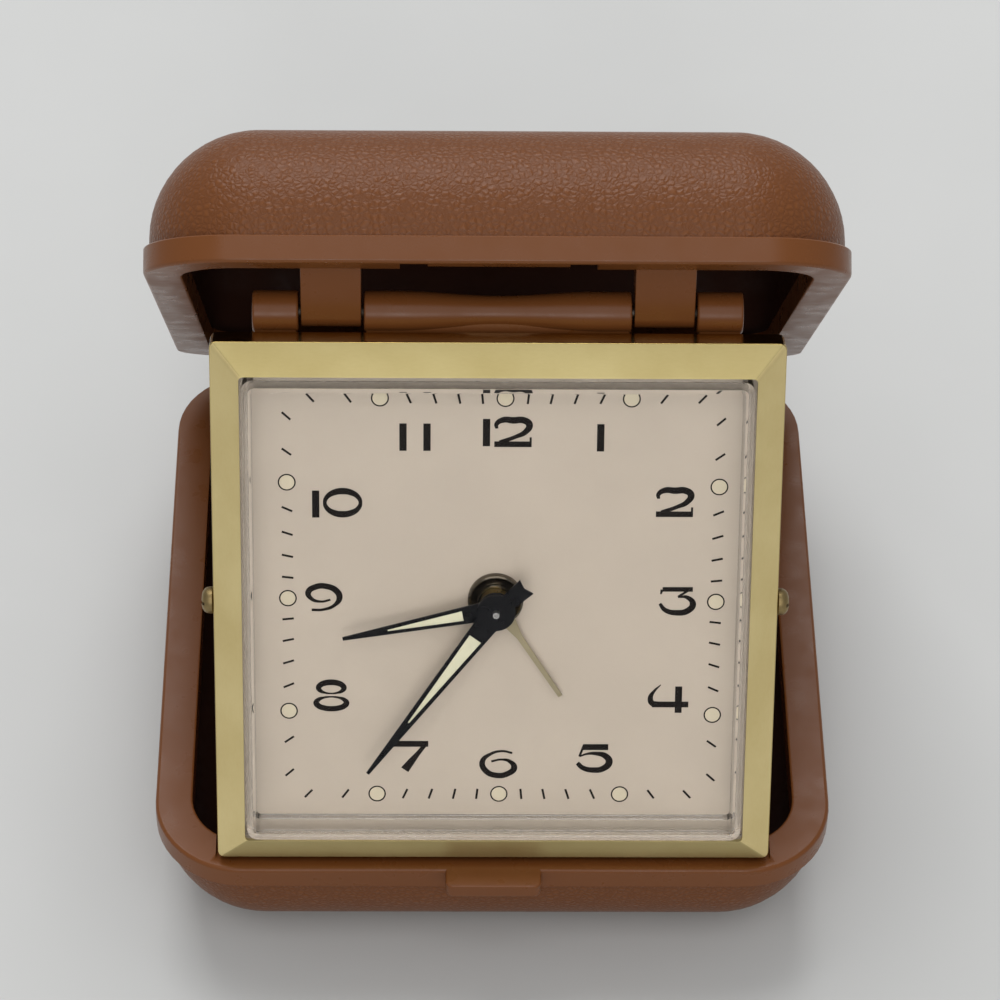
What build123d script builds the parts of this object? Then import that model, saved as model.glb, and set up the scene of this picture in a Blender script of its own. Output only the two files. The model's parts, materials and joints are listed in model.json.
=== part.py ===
"""A folding travel clock: two domed shells, and a square alarm clock hinged inside the upper one.

The lower shell lies flat, the upper one leans over it, and the clock swings out of the upper
shell until its lower edge comes to the front lip of the lower one. +Z is up, +Y is towards the
case hinge, and the origin is the middle of the lower shell's flat underside.
"""

import os
from math import asin, atan2, cos, radians, sin, sqrt

from build123d import *

os.makedirs("parts", exist_ok=True)

half_turn = 180
quarter_turn = 90

# Clearances and overruns
running_fit = 0.04
seat_gap = 0.05
hinge_gap = 0.3
overrun = 1.0

# The two case shells, each from its own rim plane
case_width = 85.0
case_length = 86.25
shell_depth = 18.2
rim_corner = 11.2
lip_width = 4.7
lip_corner = 7.0
band_height = 3.3
band_step = 0.5
dome_radius = 13.3
wall = 1.7
cavity_bevel = 8.0
band_edge = 0.35
lip_relief_length = 14.0
lip_relief_drop = 0.8

# The case hinge, behind the rims
hinge_back = 1.1
case_barrel = 2.4
pin_radius = 0.8
open_angle = 53.9

# The clock hinge, inside the free end of the upper shell
clock_pivot_back = 10.05
clock_pivot_out = 4.25
clock_barrel = 2.5
strap_root_start = 4.0
strap_root_end = 7.4
strap_inner = 16.3
strap_outer = 23.5
knuckle_outer = 29.3
scoop_radius = 46.0
scoop_depth = 0.9

# Latch tongue in the upper lip, and the thumb tab on the lower shell
tongue_half = 8.4
slot_width = 3.3
slot_web = 0.8
tongue_set_back = 2.2
tab_width = 11.9
tab_reach = 2.4
tab_height = 2.2
tab_corner = 0.9
rest_start = 1.9
rest_drop = 1.5
rest_side_gap = 0.35

# The clock head, by depth behind the outer edge of its bezel
clock_side_room = 8.25
clock_end_room = 9.275
clock_width = case_width - 2 * clock_side_room
clock_height = case_length - 2 * clock_end_room
rest_height = 0.893
bezel_inset = 3.55
bezel_rise = 2.6
skirt_depth = 3.6
bezel_sheet = 0.5
bezel_corner = 0.8
pivot_rise = 1.7
crystal_front = 4.0
crystal_sheet = 1.0
crystal_edge = 1.1
crystal_flange = 1.5
dial_depth = 2.9
dial_sheet = 0.4

# The clock housing
housing_flange_start = 1.0
housing_flange_end = 4.2
housing_body_inset = 3.3
housing_wall = 1.5
housing_corner = 4.0
housing_edge = 1.6
crystal_gap = 0.3
crystal_corner = 1.3
crystal_flange_sheet = 0.8
web_inset = 0.5

# Side screws of the bezel, and the screws of the back
screw_head = 1.65
screw_dome = 1.5
screw_bevel = 0.7
screw_shank = 0.7
screw_depth = 1.9
screw_reach = 1.3
slot_cut = 0.4
back_screw_head = 2.2
back_screw_shank = 1.1
back_screw_rise = 1.0
back_screw_reach = 3.2

# Movement plates
plate_sheet = 0.8
plate_half_width = 27.5
plate_half_height = 26.0
plate_corner = 3.0
pillar_radius = 1.7
pillar_inset = 3.2
pillar_sides = 6
spacer_radius = 2.2
spacer_bore = 1.1

# Wheels: teeth, module, and the arbors that carry them
tooth_share = 0.42
tip_share = 0.14
addendum_share = 0.7
dedendum_share = 1.15
fine_teeth = 30
wheel_sheet = 0.6
pinion_length = 0.9
arbor_radius = 0.6
train_arbor = 0.35
cannon_pipe = 1.1
pivot_shoulder = 0.15
centre_teeth, centre_module = 60, 0.3
third_pinion_teeth = 8
third_teeth, third_module = 64, 0.25
fourth_pinion_teeth = 8
fourth_teeth, fourth_module = 60, 0.22
escape_pinion_teeth = 6
escape_teeth, escape_module = 15, 0.54
main_teeth, centre_pinion_teeth, main_module = 72, 12, 0.35
cannon_teeth, minute_wheel_teeth, cannon_module = 12, 36, 0.25
minute_pinion_teeth, hour_teeth, hour_module = 12, 48, 0.2
alarm_teeth, alarm_pinion_teeth, alarm_module = 48, 24, 0.33
alarm_main_teeth, alarm_main_module = 40, 0.42
third_angle, fourth_angle, escape_angle = 118.0, 20.0, -20.0
main_angle, minute_angle, alarm_angle = -38.0, 200.0, 170.0

# Room between the layers of the movement, from the dial to the back
motion_sheet = 0.4
under_dial = 0.2
motion_gap = 0.15
wheel_gap = 0.4
train_gap = 0.7
spring_gap = 0.8
escape_gap = 0.9
rear_gap = 0.6
behind_springs = 1.2
rear_room = 2.9

# Hands, as lengths from the centre, and their angles round the dial
hour_length, hour_angle = 19.35, 258.0
minute_length, minute_hand_angle = 26.5, 216.0
alarm_length, alarm_hand_angle = 14.8, 147.0
hand_sheet = 0.25
hand_root = 1.15
hand_tip = 0.2
hand_pin = 0.4
hour_window = (4.1, 13.4)
minute_window = (4.6, 18.0)
window_side = 0.3
window_tip = 0.1
lume_sheet = 0.15
hub_radius = 2.15
collar_radius = 3.4
collar_height = 0.9
fishtail_reach = 4.8
fishtail_half = 1.25
fishtail_root = 0.9
fishtail_notch = 1.1
alarm_hand_half = 0.4
alarm_level, hour_level, minute_level, hub_top = 1.3, 3.2, 4.3, 5.4

# Keys, knobs, the alarm stop and the rest of the back
alarm_key_place = (-12.5, -10.5)
key_hub_radius = 2.6
key_hub_height = 1.6
key_half = 6.6
key_thick = 1.5
key_reach = 5.4
key_corner = 2.0
key_hole = 1.1
key_angle = 90.0
knob_radius = 4.4
knob_reach = 4.0
knob_ridges = 24
ridge_depth = 0.4
knob_gap = 0.4
spring_radius = 8.0
spring_core = 2.2
spring_height = 3.2
stop_place = (0, 22.0)
stop_length, stop_width, stop_travel = 5.0, 3.0, 2.4
stop_height = 1.6
stop_stem_half = 0.8
regulator_radius = 7.5
regulator_swing = 18.0
regulator_stem = 0.5
regulator_arm_half = 0.8
regulator_boss = 1.7
regulator_sheet = 0.6
regulator_button = 1.2
regulator_button_height = 0.9
regulator_angle = 90.0
lever_angle, lever_reach, balance_reach = -27.8, 6.3, 12.7
lever_length = 3.0
lever_shares = [(1.0, 0.1), (0.0, 0.25), (-0.4, 1.0), (-0.77, 1.0), (-0.63, 0.77), (-0.27, 0.0)]
balance_radius = 5.4
balance_rim = 0.9
balance_arm = 0.8
balance_sheet = 1.0
spring_turns, spring_steps, spring_strip = 5, 14, 0.3
hairspring_core, hairspring_turns, hairspring_radius = 0.7, 3, 3.0
hairspring_strip = 0.15
hairspring_height = 0.5
gong_place = (-15.5, 12.0)
gong_radius = 7.0
gong_sheet = 0.7
gong_height = 1.8
gong_post_radius = 1.4
hammer_place = (-24.0, -2.0)
hammer_half = 0.5
hammer_head = 1.1
hammer_gap = 0.5
hammer_side = 200.0
hammer_rise = 0.3

# Levels of the movement, by depth, each from the one before it
seat_depth = dial_depth + dial_sheet
alarm_wheel_level = seat_depth + under_dial
hour_wheel_level = alarm_wheel_level + motion_sheet + motion_gap
cannon_level = hour_wheel_level + motion_sheet + motion_gap
front_plate_depth = cannon_level + motion_sheet + wheel_gap
centre_level = front_plate_depth + plate_sheet + train_gap
main_level = centre_level + wheel_sheet + train_gap
third_level = main_level + wheel_sheet + wheel_gap
spring_level = main_level + wheel_sheet + spring_gap
fourth_level = third_level + wheel_sheet + spring_gap
balance_level = fourth_level
escape_level = fourth_level + wheel_sheet + escape_gap
hairspring_level = balance_level + balance_sheet + rear_gap
back_plate_depth = spring_level + spring_height + behind_springs
plate_end = back_plate_depth + plate_sheet
gong_level = plate_end + rear_gap
regulator_level = plate_end + rear_gap
hammer_level = gong_level + hammer_rise
back_inside = plate_end + rear_room
housing_depth = back_inside + housing_wall

# Frames worked out from the sizes
hinge_y = case_length / 2 + hinge_back
hinge_reach = case_length + hinge_back
fold_y, fold_z = cos(radians(open_angle)), sin(radians(open_angle))
lower_rim = Plane(origin=(0, 0, shell_depth), x_dir=(-1, 0, 0), z_dir=(0, 0, -1))
upper_mid = case_length / 2 + hinge_back
upper_rim = Plane(
    origin=(0, hinge_y - upper_mid * fold_y, shell_depth + upper_mid * fold_z),
    x_dir=(1, 0, 0),
    z_dir=(0, fold_z, fold_y),
)
pivot_along = hinge_reach - clock_pivot_back
pivot_y = hinge_y - pivot_along * fold_y - clock_pivot_out * fold_z
pivot_z = shell_depth + pivot_along * fold_z - clock_pivot_out * fold_y
pivot_depth = skirt_depth + hinge_gap + clock_barrel
pivot_height = clock_height / 2 + pivot_rise

# The clock leans so that its lower edge comes down just above the lower shell's lip
edge_reach = clock_height / 2 + pivot_height
edge_drop = pivot_z - shell_depth - rest_height
clock_slope = atan2(pivot_depth, edge_reach) + asin(edge_drop / sqrt(edge_reach**2 + pivot_depth**2))
rise_y, rise_z = cos(clock_slope), sin(clock_slope)
head = Plane(
    origin=(
        0,
        pivot_y - pivot_height * rise_y - pivot_depth * rise_z,
        pivot_z - pivot_height * rise_z + pivot_depth * rise_y,
    ),
    x_dir=(-1, 0, 0),
    z_dir=(0, rise_z, -rise_y),
)


def at_polar(place, radius, angle):
    """The point at a radius and an angle in degrees from a place."""
    return (place[0] + radius * cos(radians(angle)), place[1] + radius * sin(radians(angle)))


centre_place = (0.0, 0.0)
third_place = at_polar(centre_place, centre_module * (centre_teeth + third_pinion_teeth) / 2, third_angle)
fourth_place = at_polar(third_place, third_module * (third_teeth + fourth_pinion_teeth) / 2, fourth_angle)
escape_place = at_polar(fourth_place, fourth_module * (fourth_teeth + escape_pinion_teeth) / 2, escape_angle)
main_place = at_polar(centre_place, main_module * (main_teeth + centre_pinion_teeth) / 2, main_angle)
minute_place = at_polar(centre_place, cannon_module * (cannon_teeth + minute_wheel_teeth) / 2, minute_angle)
alarm_set_place = at_polar(centre_place, alarm_module * (alarm_teeth + alarm_pinion_teeth) / 2, alarm_angle)
lever_place = at_polar(escape_place, lever_reach, lever_angle)
balance_place = at_polar(escape_place, balance_reach, lever_angle)
pillar_x = plate_half_width - pillar_inset
pillar_y = plate_half_height - pillar_inset
pillar_places = [(pillar_x, pillar_y), (-pillar_x, pillar_y), (-pillar_x, -pillar_y), (pillar_x, -pillar_y)]
hammer_tip = at_polar(gong_place, gong_radius + hammer_gap + hammer_head, hammer_side)


def finish(piece, label):
    """Label a finished piece and write it out."""
    piece.part.label = label
    export_step(piece.part, f"parts/{label}.step")
    print(label, round(piece.part.volume, 1))


def rim_cavity():
    """The hollow of one shell: the mouth through its lip, and the wider space behind."""
    with BuildPart() as hollow:
        with BuildSketch(Plane.XY.offset(band_height)):
            RectangleRounded(
                case_width - 2 * (band_step + wall),
                case_length - 2 * (band_step + wall),
                dome_radius - wall,
            )
        extrude(amount=shell_depth - wall - band_height)
        chamfer(hollow.faces().sort_by(Axis.Z)[-1].edges(), cavity_bevel)
        with BuildSketch(Plane.XY.offset(-overrun)):
            RectangleRounded(case_width - 2 * lip_width, case_length - 2 * lip_width, lip_corner)
        extrude(amount=band_height + 2 * overrun)
    return hollow.part


def case_dome():
    """The shell's outer form: upright at the rim, then rolled over with ball corners."""
    half_width = case_width / 2 - band_step - dome_radius
    half_length = case_length / 2 - band_step - dome_radius
    shoulder = shell_depth - dome_radius
    sides = ((half_width, half_length), (half_length, half_width)) * 2
    with BuildPart() as dome:
        with BuildSketch():
            RectangleRounded(case_width - 2 * band_step, case_length - 2 * band_step, dome_radius)
        extrude(amount=shoulder)
        with BuildSketch(Plane.XY.offset(shoulder)):
            Rectangle(2 * half_width, 2 * half_length)
        extrude(amount=dome_radius)
        for turn, (reach, run) in enumerate(sides):
            turned = Plane.XY.rotated((0, 0, turn * quarter_turn))
            corner = turned.from_local_coords((reach, -run, shoulder))
            with BuildSketch(Plane(origin=corner, x_dir=turned.x_dir, z_dir=-turned.y_dir)) as roll:
                with BuildLine():
                    CenterArc((0, 0), dome_radius, 0, quarter_turn)
                    Polyline((0, dome_radius), (0, 0), (dome_radius, 0))
                make_face()
            extrude(amount=-2 * run)
            revolve(roll.sketch, axis=Axis(corner, turned.z_dir), revolution_arc=-quarter_turn)
    return dome.part


def case_shell():
    """One domed shell with its proud rim band, rim down at Z 0; +Y is the hinge end."""
    with BuildPart() as shell:
        add(case_dome())
        with BuildSketch():
            RectangleRounded(case_width, case_length, rim_corner)
        extrude(amount=band_height)
        add(rim_cavity(), mode=Mode.SUBTRACT)
        # The lip falls away towards the hinge, so the rims clear each other there
        rear = case_length / 2
        with BuildSketch(Plane.YZ):
            with BuildLine():
                Polyline(
                    (rear - lip_relief_length, 0),
                    (rear + overrun, lip_relief_drop * (lip_relief_length + overrun) / lip_relief_length),
                    (rear + overrun, -overrun),
                    (rear - lip_relief_length, -overrun),
                    close=True,
                )
            make_face()
        extrude(amount=case_width, both=True, mode=Mode.SUBTRACT)
    return shell.part


def span(start, end):
    """The two mirrored stretches along a hinge, as a middle and a length."""
    return [((start + end) / 2, end - start), (-(start + end) / 2, end - start)]


strap_spans = span(strap_inner, strap_outer)
knuckle_spans = span(strap_outer + hinge_gap, knuckle_outer) + [(0, 2 * (strap_inner - hinge_gap))]


def across(frame, middle):
    """A plane across X in a frame, at a distance along its X."""
    place = frame.origin + frame.x_dir * middle
    return Plane(origin=place, x_dir=frame.y_dir, z_dir=frame.x_dir)


def hinge_barrels(rim, spans):
    """Barrels of the case hinge on one shell, each with the web that roots it in the rim."""
    with BuildPart() as barrels:
        for middle, length in spans:
            with BuildSketch(across(rim, middle)):
                with Locations((hinge_y, 0)):
                    Circle(case_barrel)
                with Locations((hinge_y - (hinge_back + wall) / 2, case_barrel / 2)):
                    Rectangle(hinge_back + wall, case_barrel)
            extrude(amount=length / 2, both=True)
    return barrels.part


def hinge_room(rim, spans):
    """The room that the other shell's barrels need along the case hinge."""
    with BuildPart() as room:
        for middle, length in spans:
            with BuildSketch(across(rim, middle)):
                with Locations((hinge_y, 0)):
                    Circle(case_barrel + hinge_gap)
            extrude(amount=length / 2 + hinge_gap, both=True)
    return room.part


def case_pin_bore(rim):
    """The bore of the case hinge pin."""
    with BuildPart() as bore:
        with BuildSketch(across(rim, 0)):
            with Locations((hinge_y, 0)):
                Circle(pin_radius + running_fit)
        extrude(amount=case_width / 2, both=True)
    return bore.part


# Lower shell: the base, with the thumb tab on its front and the rest for the clock's lower edge
shell_blank = case_shell()
front = -case_length / 2
rest_length = lip_width - rest_start
lower_side = across(lower_rim, 0)
with BuildPart() as lower_shell:
    add(shell_blank.moved(lower_rim.location))
    add(hinge_room(lower_rim, strap_spans), mode=Mode.SUBTRACT)
    add(hinge_barrels(lower_rim, knuckle_spans))
    add(case_pin_bore(lower_rim), mode=Mode.SUBTRACT)
    with BuildSketch(lower_rim):
        with Locations((0, front - tab_reach / 2 + band_height / 2)):
            Rectangle(tab_width, tab_reach + band_height)
        chamfer(vertices().group_by(Axis.Y)[0], tab_corner)
    extrude(amount=tab_height)
    with BuildSketch(lower_side):
        with BuildLine():
            Polyline(
                (front + rest_start, 0),
                (front + lip_width + overrun, rest_drop * (rest_length + overrun) / rest_length),
                (front + lip_width + overrun, -overrun),
                (front + rest_start, -overrun),
                close=True,
            )
        make_face()
    extrude(amount=clock_width / 2 + rest_side_gap, both=True, mode=Mode.SUBTRACT)
finish(lower_shell, "lower_shell")

# Upper shell: the same moulding turned over, with the latch tongue and the two hinge straps
upper_side = across(upper_rim, 0)
pivot_local_y = front + clock_pivot_back
with BuildPart() as upper_shell:
    add(shell_blank.moved(upper_rim.location))
    add(hinge_room(upper_rim, knuckle_spans), mode=Mode.SUBTRACT)
    add(hinge_barrels(upper_rim, strap_spans))
    add(case_pin_bore(upper_rim), mode=Mode.SUBTRACT)
    # The lip is set back along the tongue, and slit beside it
    with BuildSketch(upper_rim.offset(-overrun)):
        with Locations((0, front + lip_width - tongue_set_back / 2 + overrun / 2)):
            Rectangle(2 * tongue_half, tongue_set_back + overrun)
        slot_length = lip_width - slot_web + overrun
        slot_middle = tongue_half + slot_width / 2
        slot_y = front + slot_web + slot_length / 2
        with Locations((slot_middle, slot_y), (-slot_middle, slot_y)):
            Rectangle(slot_width, slot_length)
    extrude(amount=band_height + overrun, mode=Mode.SUBTRACT)
    for middle, length in strap_spans:
        with BuildSketch(across(upper_rim, middle)):
            with Locations((pivot_local_y, -clock_pivot_out)):
                Circle(clock_barrel)
            with Locations((front + (strap_root_start + strap_root_end) / 2, (band_height + band_edge) / 2)):
                Rectangle(strap_root_end - strap_root_start, band_height - band_edge)
            make_hull()
        extrude(amount=length / 2, both=True)
    with BuildSketch(upper_side):
        with Locations((pivot_local_y, -clock_pivot_out)):
            Circle(pin_radius + running_fit)
    extrude(amount=case_width / 2, both=True, mode=Mode.SUBTRACT)
finish(upper_shell, "upper_shell")

# The two steel hinge pins
with BuildPart() as case_pin:
    with BuildSketch(across(lower_rim, 0)):
        with Locations((hinge_y, 0)):
            Circle(pin_radius)
    extrude(amount=knuckle_outer, both=True)
finish(case_pin, "case_hinge_pin")

with BuildPart() as clock_pin:
    with BuildSketch(upper_side):
        with Locations((pivot_local_y, -clock_pivot_out)):
            Circle(pin_radius)
    extrude(amount=knuckle_outer, both=True)
finish(clock_pin, "clock_hinge_pin")


def at_depth(depth):
    """The head's plane at a depth behind the outer edge of the bezel, seen from behind."""
    return head.offset(depth)


# Clock housing: a tray for the dial, a body for the movement, and the knuckles on top
body_width = clock_width - 2 * housing_body_inset
body_height = clock_height - 2 * housing_body_inset
tray_width = clock_width - 2 * (bezel_sheet + seat_gap)
tray_height = clock_height - 2 * (bezel_sheet + seat_gap)
opening_width = clock_width - 2 * bezel_inset
opening_height = clock_height - 2 * bezel_inset
pocket_width = opening_width + 2 * crystal_flange
pocket_height = opening_height + 2 * crystal_flange
screw_sides = Plane(origin=at_depth(screw_depth).origin, x_dir=head.y_dir, z_dir=head.x_dir)

with BuildPart() as housing:
    with BuildSketch(at_depth(skirt_depth - seat_gap)):
        RectangleRounded(body_width, body_height, housing_corner)
    extrude(amount=housing_depth - skirt_depth + seat_gap)
    chamfer(housing.faces().sort_by(Axis(head.origin, head.z_dir))[-1].edges(), housing_edge)
    with BuildSketch(at_depth(housing_flange_start)):
        RectangleRounded(tray_width, tray_height, bezel_corner)
    extrude(amount=housing_flange_end - housing_flange_start)
    with BuildSketch(at_depth(housing_flange_start - overrun)):
        RectangleRounded(pocket_width, pocket_height, bezel_corner)
    extrude(amount=seat_depth + seat_gap - housing_flange_start + overrun, mode=Mode.SUBTRACT)
    with BuildSketch(at_depth(seat_depth)):
        RectangleRounded(
            body_width - 2 * housing_wall,
            body_height - 2 * housing_wall,
            housing_corner - housing_wall,
        )
    extrude(amount=back_inside - seat_depth, mode=Mode.SUBTRACT)
    # Knuckles round the clock hinge, each on a web from the body's top wall
    web_foot = body_height / 2 - housing_wall / 2
    for middle, length in knuckle_spans:
        with BuildSketch(across(head, middle)):
            with Locations((pivot_height, pivot_depth)):
                Circle(clock_barrel)
            with Locations(((web_foot + pivot_height) / 2, pivot_depth)):
                Rectangle(pivot_height - web_foot, 2 * (clock_barrel - web_inset))
        extrude(amount=length / 2, both=True)
    with BuildSketch(across(head, 0)):
        with Locations((pivot_height, pivot_depth)):
            Circle(pin_radius + running_fit)
    extrude(amount=case_width / 2, both=True, mode=Mode.SUBTRACT)
    # The middle knuckle is dished where the latch tongue springs in
    with BuildSketch(at_depth(pivot_depth - clock_barrel - overrun)):
        with Locations((0, pivot_height + clock_barrel - scoop_depth + scoop_radius)):
            Circle(scoop_radius)
    extrude(amount=2 * (clock_barrel + overrun), mode=Mode.SUBTRACT)
    # Holes of the back: winding arbors, setting arbors, alarm stop, regulator and screws
    with BuildSketch(at_depth(back_inside - overrun)):
        with Locations(centre_place, alarm_set_place, main_place, alarm_key_place):
            Circle(2 * arbor_radius)
        with Locations((stop_place[0] + stop_travel / 2, stop_place[1])):
            SlotCenterToCenter(stop_travel, 2 * (stop_stem_half + seat_gap))
        with BuildLine(mode=Mode.PRIVATE) as regulator_line:
            CenterArc(
                balance_place,
                regulator_radius,
                regulator_angle - regulator_swing,
                2 * regulator_swing,
            )
        SlotArc(regulator_line.edge(), 2 * (regulator_stem + seat_gap))
        with Locations(pillar_places):
            Circle(back_screw_shank + running_fit)
    extrude(amount=housing_wall + 2 * overrun, mode=Mode.SUBTRACT)
    with BuildSketch(screw_sides):
        Circle(screw_shank + running_fit)
    extrude(amount=clock_width, both=True, mode=Mode.SUBTRACT)
finish(housing, "clock_housing")


# Bezel: a pressed frame with mitred bevels and a polished skirt
def bezel_solid(width, height, level):
    """The bezel's outer form for one size: a straight skirt and a bevel up to the opening."""
    with BuildPart() as form:
        with BuildSketch(at_depth(skirt_depth)):
            RectangleRounded(width, height, bezel_corner)
        with BuildSketch(at_depth(level)):
            RectangleRounded(width, height, bezel_corner)
        loft(ruled=True)
        with BuildSketch(at_depth(level)):
            RectangleRounded(width, height, bezel_corner)
        with BuildSketch(at_depth(level - bezel_rise)):
            RectangleRounded(width - 2 * bezel_inset, height - 2 * bezel_inset, bezel_sheet)
        loft(ruled=True)
    return form.part


with BuildPart() as bezel:
    add(bezel_solid(clock_width, clock_height, 0))
    add(
        bezel_solid(clock_width - 2 * bezel_sheet, clock_height - 2 * bezel_sheet, bezel_sheet),
        mode=Mode.SUBTRACT,
    )
    with BuildSketch(at_depth(-bezel_rise - overrun)):
        Rectangle(opening_width, opening_height)
    extrude(amount=skirt_depth + bezel_rise + overrun, mode=Mode.SUBTRACT)
    with BuildSketch(screw_sides):
        Circle(screw_shank + running_fit)
    extrude(amount=clock_width, both=True, mode=Mode.SUBTRACT)
finish(bezel, "bezel")


# Side screws of the bezel: slotted round heads
with BuildPart() as side_screws:
    for way in (-1, 1):
        outward = Plane(
            origin=screw_sides.origin + head.x_dir * (way * (clock_width / 2 + seat_gap)),
            x_dir=head.y_dir,
            z_dir=head.x_dir * way,
        )
        with BuildSketch(outward):
            Circle(screw_head)
        extrude(amount=screw_dome)
        crown = side_screws.faces().sort_by(Axis(outward.origin, outward.z_dir))[-1]
        chamfer(crown.edges(), screw_bevel)
        with BuildSketch(outward.offset(screw_dome - slot_cut)):
            Rectangle(slot_cut, 2 * screw_head + overrun)
        extrude(amount=slot_cut + overrun, mode=Mode.SUBTRACT)
        with BuildSketch(outward):
            Circle(screw_shank)
        extrude(amount=-screw_reach)
finish(side_screws, "side_screws")

# Box crystal: a clear moulded lid with bevelled edges and a foot that sits on the dial
crystal_width = opening_width - 2 * crystal_gap
crystal_height = opening_height - 2 * crystal_gap
with BuildPart() as crystal:
    with BuildSketch(at_depth(-crystal_front)):
        RectangleRounded(crystal_width, crystal_height, crystal_corner)
    extrude(amount=dial_depth + crystal_front - seat_gap)
    chamfer(crystal.faces().sort_by(Axis(head.origin, head.z_dir))[0].edges(), crystal_edge)
    with BuildSketch(at_depth(dial_depth - seat_gap)):
        RectangleRounded(pocket_width - 2 * seat_gap, pocket_height - 2 * seat_gap, bezel_corner)
    extrude(amount=-crystal_flange_sheet)
    with BuildSketch(at_depth(crystal_sheet - crystal_front)):
        RectangleRounded(
            crystal_width - 2 * crystal_sheet,
            crystal_height - 2 * crystal_sheet,
            bezel_sheet,
        )
    extrude(amount=dial_depth + crystal_front, mode=Mode.SUBTRACT)
finish(crystal, "crystal")

# Dial plate
dial_bore = collar_radius - dial_sheet
with BuildPart() as dial:
    with BuildSketch(at_depth(dial_depth)):
        RectangleRounded(pocket_width - 2 * seat_gap, pocket_height - 2 * seat_gap, bezel_corner)
        Circle(dial_bore, mode=Mode.SUBTRACT)
    extrude(amount=dial_sheet)
finish(dial, "dial")


def disc(depth, place, radius, height):
    """A round solid that runs from a depth towards the back."""
    with BuildPart() as solid:
        with BuildSketch(at_depth(depth)):
            with Locations(place):
                Circle(radius)
        extrude(amount=height)
    return solid.part


def through(place, radius):
    """A round cutter right through the head, from front to back."""
    start = -crystal_front - overrun
    return disc(start, place, radius, housing_depth + knob_reach + overrun - start)


def toothed(depth, place, teeth, module, height, first_tooth):
    """A toothed wheel or pinion that runs from a depth towards the back."""
    pitch = 360 / teeth
    pitch_radius = module * teeth / 2
    tip = pitch_radius + module * addendum_share
    root = pitch_radius - module * dedendum_share
    points = []
    for tooth in range(teeth):
        middle = first_tooth + tooth * pitch
        points.append(at_polar(place, root, middle - pitch * tooth_share))
        if teeth > fine_teeth:
            points.append(at_polar(place, tip, middle))
        else:
            points.append(at_polar(place, tip, middle - pitch * tip_share))
            points.append(at_polar(place, tip, middle + pitch * tip_share))
        points.append(at_polar(place, root, middle + pitch * tooth_share))
    with BuildPart() as solid:
        with BuildSketch(at_depth(depth)):
            with BuildLine():
                Polyline(*points, close=True)
            make_face()
        extrude(amount=height)
    return solid.part


def gap_towards(angle, teeth):
    """The first tooth of a wheel that turns a gap to its neighbour, seen at an angle."""
    return angle + half_turn + half_turn / teeth


def spiral(depth, place, core, radius, turns, strip, height):
    """A flat coiled spring from its core out to a radius."""
    inner, outer = [], []
    for step in range(turns * spring_steps):
        turned = step / spring_steps
        reach = core + (radius - core) * turned / turns
        inner.append(at_polar(place, reach - strip, turned * 360))
        outer.append(at_polar(place, reach, turned * 360))
    with BuildPart() as coil:
        with BuildSketch(at_depth(depth)):
            with BuildLine():
                Polyline(*inner, *reversed(outer), close=True)
            make_face()
        extrude(amount=height)
    return coil.part


def hand_plane(level, angle):
    """A plane on the front of a hand at its level above the dial, with +X along the hand."""
    along = head.x_dir * -sin(radians(angle)) + head.y_dir * cos(radians(angle))
    place = head.origin + head.z_dir * (dial_depth - level - hand_sheet)
    return Plane(origin=place, x_dir=along, z_dir=head.z_dir)


def window_outline(window, length):
    """The corners of a hand's tapered window, from its stretch along the hand."""
    start, end = window
    start_half = hand_root - (hand_root - hand_tip) * start / length - window_side
    return [(start, start_half), (end, window_tip), (end, -window_tip), (start, -start_half)]


def hand_blade(level, angle, length, window):
    """A lance hand with its hub and its open window."""
    with BuildPart() as blade:
        with BuildSketch(hand_plane(level, angle)):
            Circle(hub_radius)
            with BuildLine():
                Polyline(
                    (0, hand_root),
                    (length, hand_tip),
                    (length, -hand_tip),
                    (0, -hand_root),
                    close=True,
                )
            make_face()
            with BuildLine():
                Polyline(*window_outline(window, length), close=True)
            make_face(mode=Mode.SUBTRACT)
        extrude(amount=hand_sheet)
    return blade.part


def lume_strip(level, angle, length, window):
    """The luminous filling of a hand's window."""
    with BuildPart() as strip:
        with BuildSketch(hand_plane(level - (hand_sheet - lume_sheet) / 2, angle)):
            with BuildLine():
                Polyline(*window_outline(window, length), close=True)
            make_face()
        extrude(amount=lume_sheet)
    return strip


hour_pipe = hub_radius - hand_sheet
knob_start = housing_depth + knob_gap
hub_depth = dial_depth - hub_top
minute_depth = dial_depth - minute_level
hour_depth = dial_depth - hour_level

# The centre arbor carries the cannon pinion and its pipe, and ends behind in the setting knob
with BuildPart() as centre_arbor:
    add(disc(hub_depth, centre_place, hand_pin, minute_depth - hub_depth))
    add(disc(minute_depth, centre_place, cannon_pipe, cannon_level + motion_sheet - minute_depth))
    add(disc(cannon_level, centre_place, arbor_radius, knob_start - cannon_level))
    add(toothed(cannon_level, centre_place, cannon_teeth, cannon_module, motion_sheet, minute_angle))
finish(centre_arbor, "centre_arbor")

with BuildPart() as centre_wheel:
    add(toothed(centre_level, centre_place, centre_teeth, centre_module, wheel_sheet, third_angle))
    add(
        toothed(
            main_level - pivot_shoulder,
            centre_place,
            centre_pinion_teeth,
            main_module,
            pinion_length,
            main_angle,
        )
    )
    add(disc(centre_level, centre_place, cannon_pipe, main_level - centre_level))
    add(through(centre_place, arbor_radius + running_fit), mode=Mode.SUBTRACT)
finish(centre_wheel, "centre_wheel")

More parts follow.
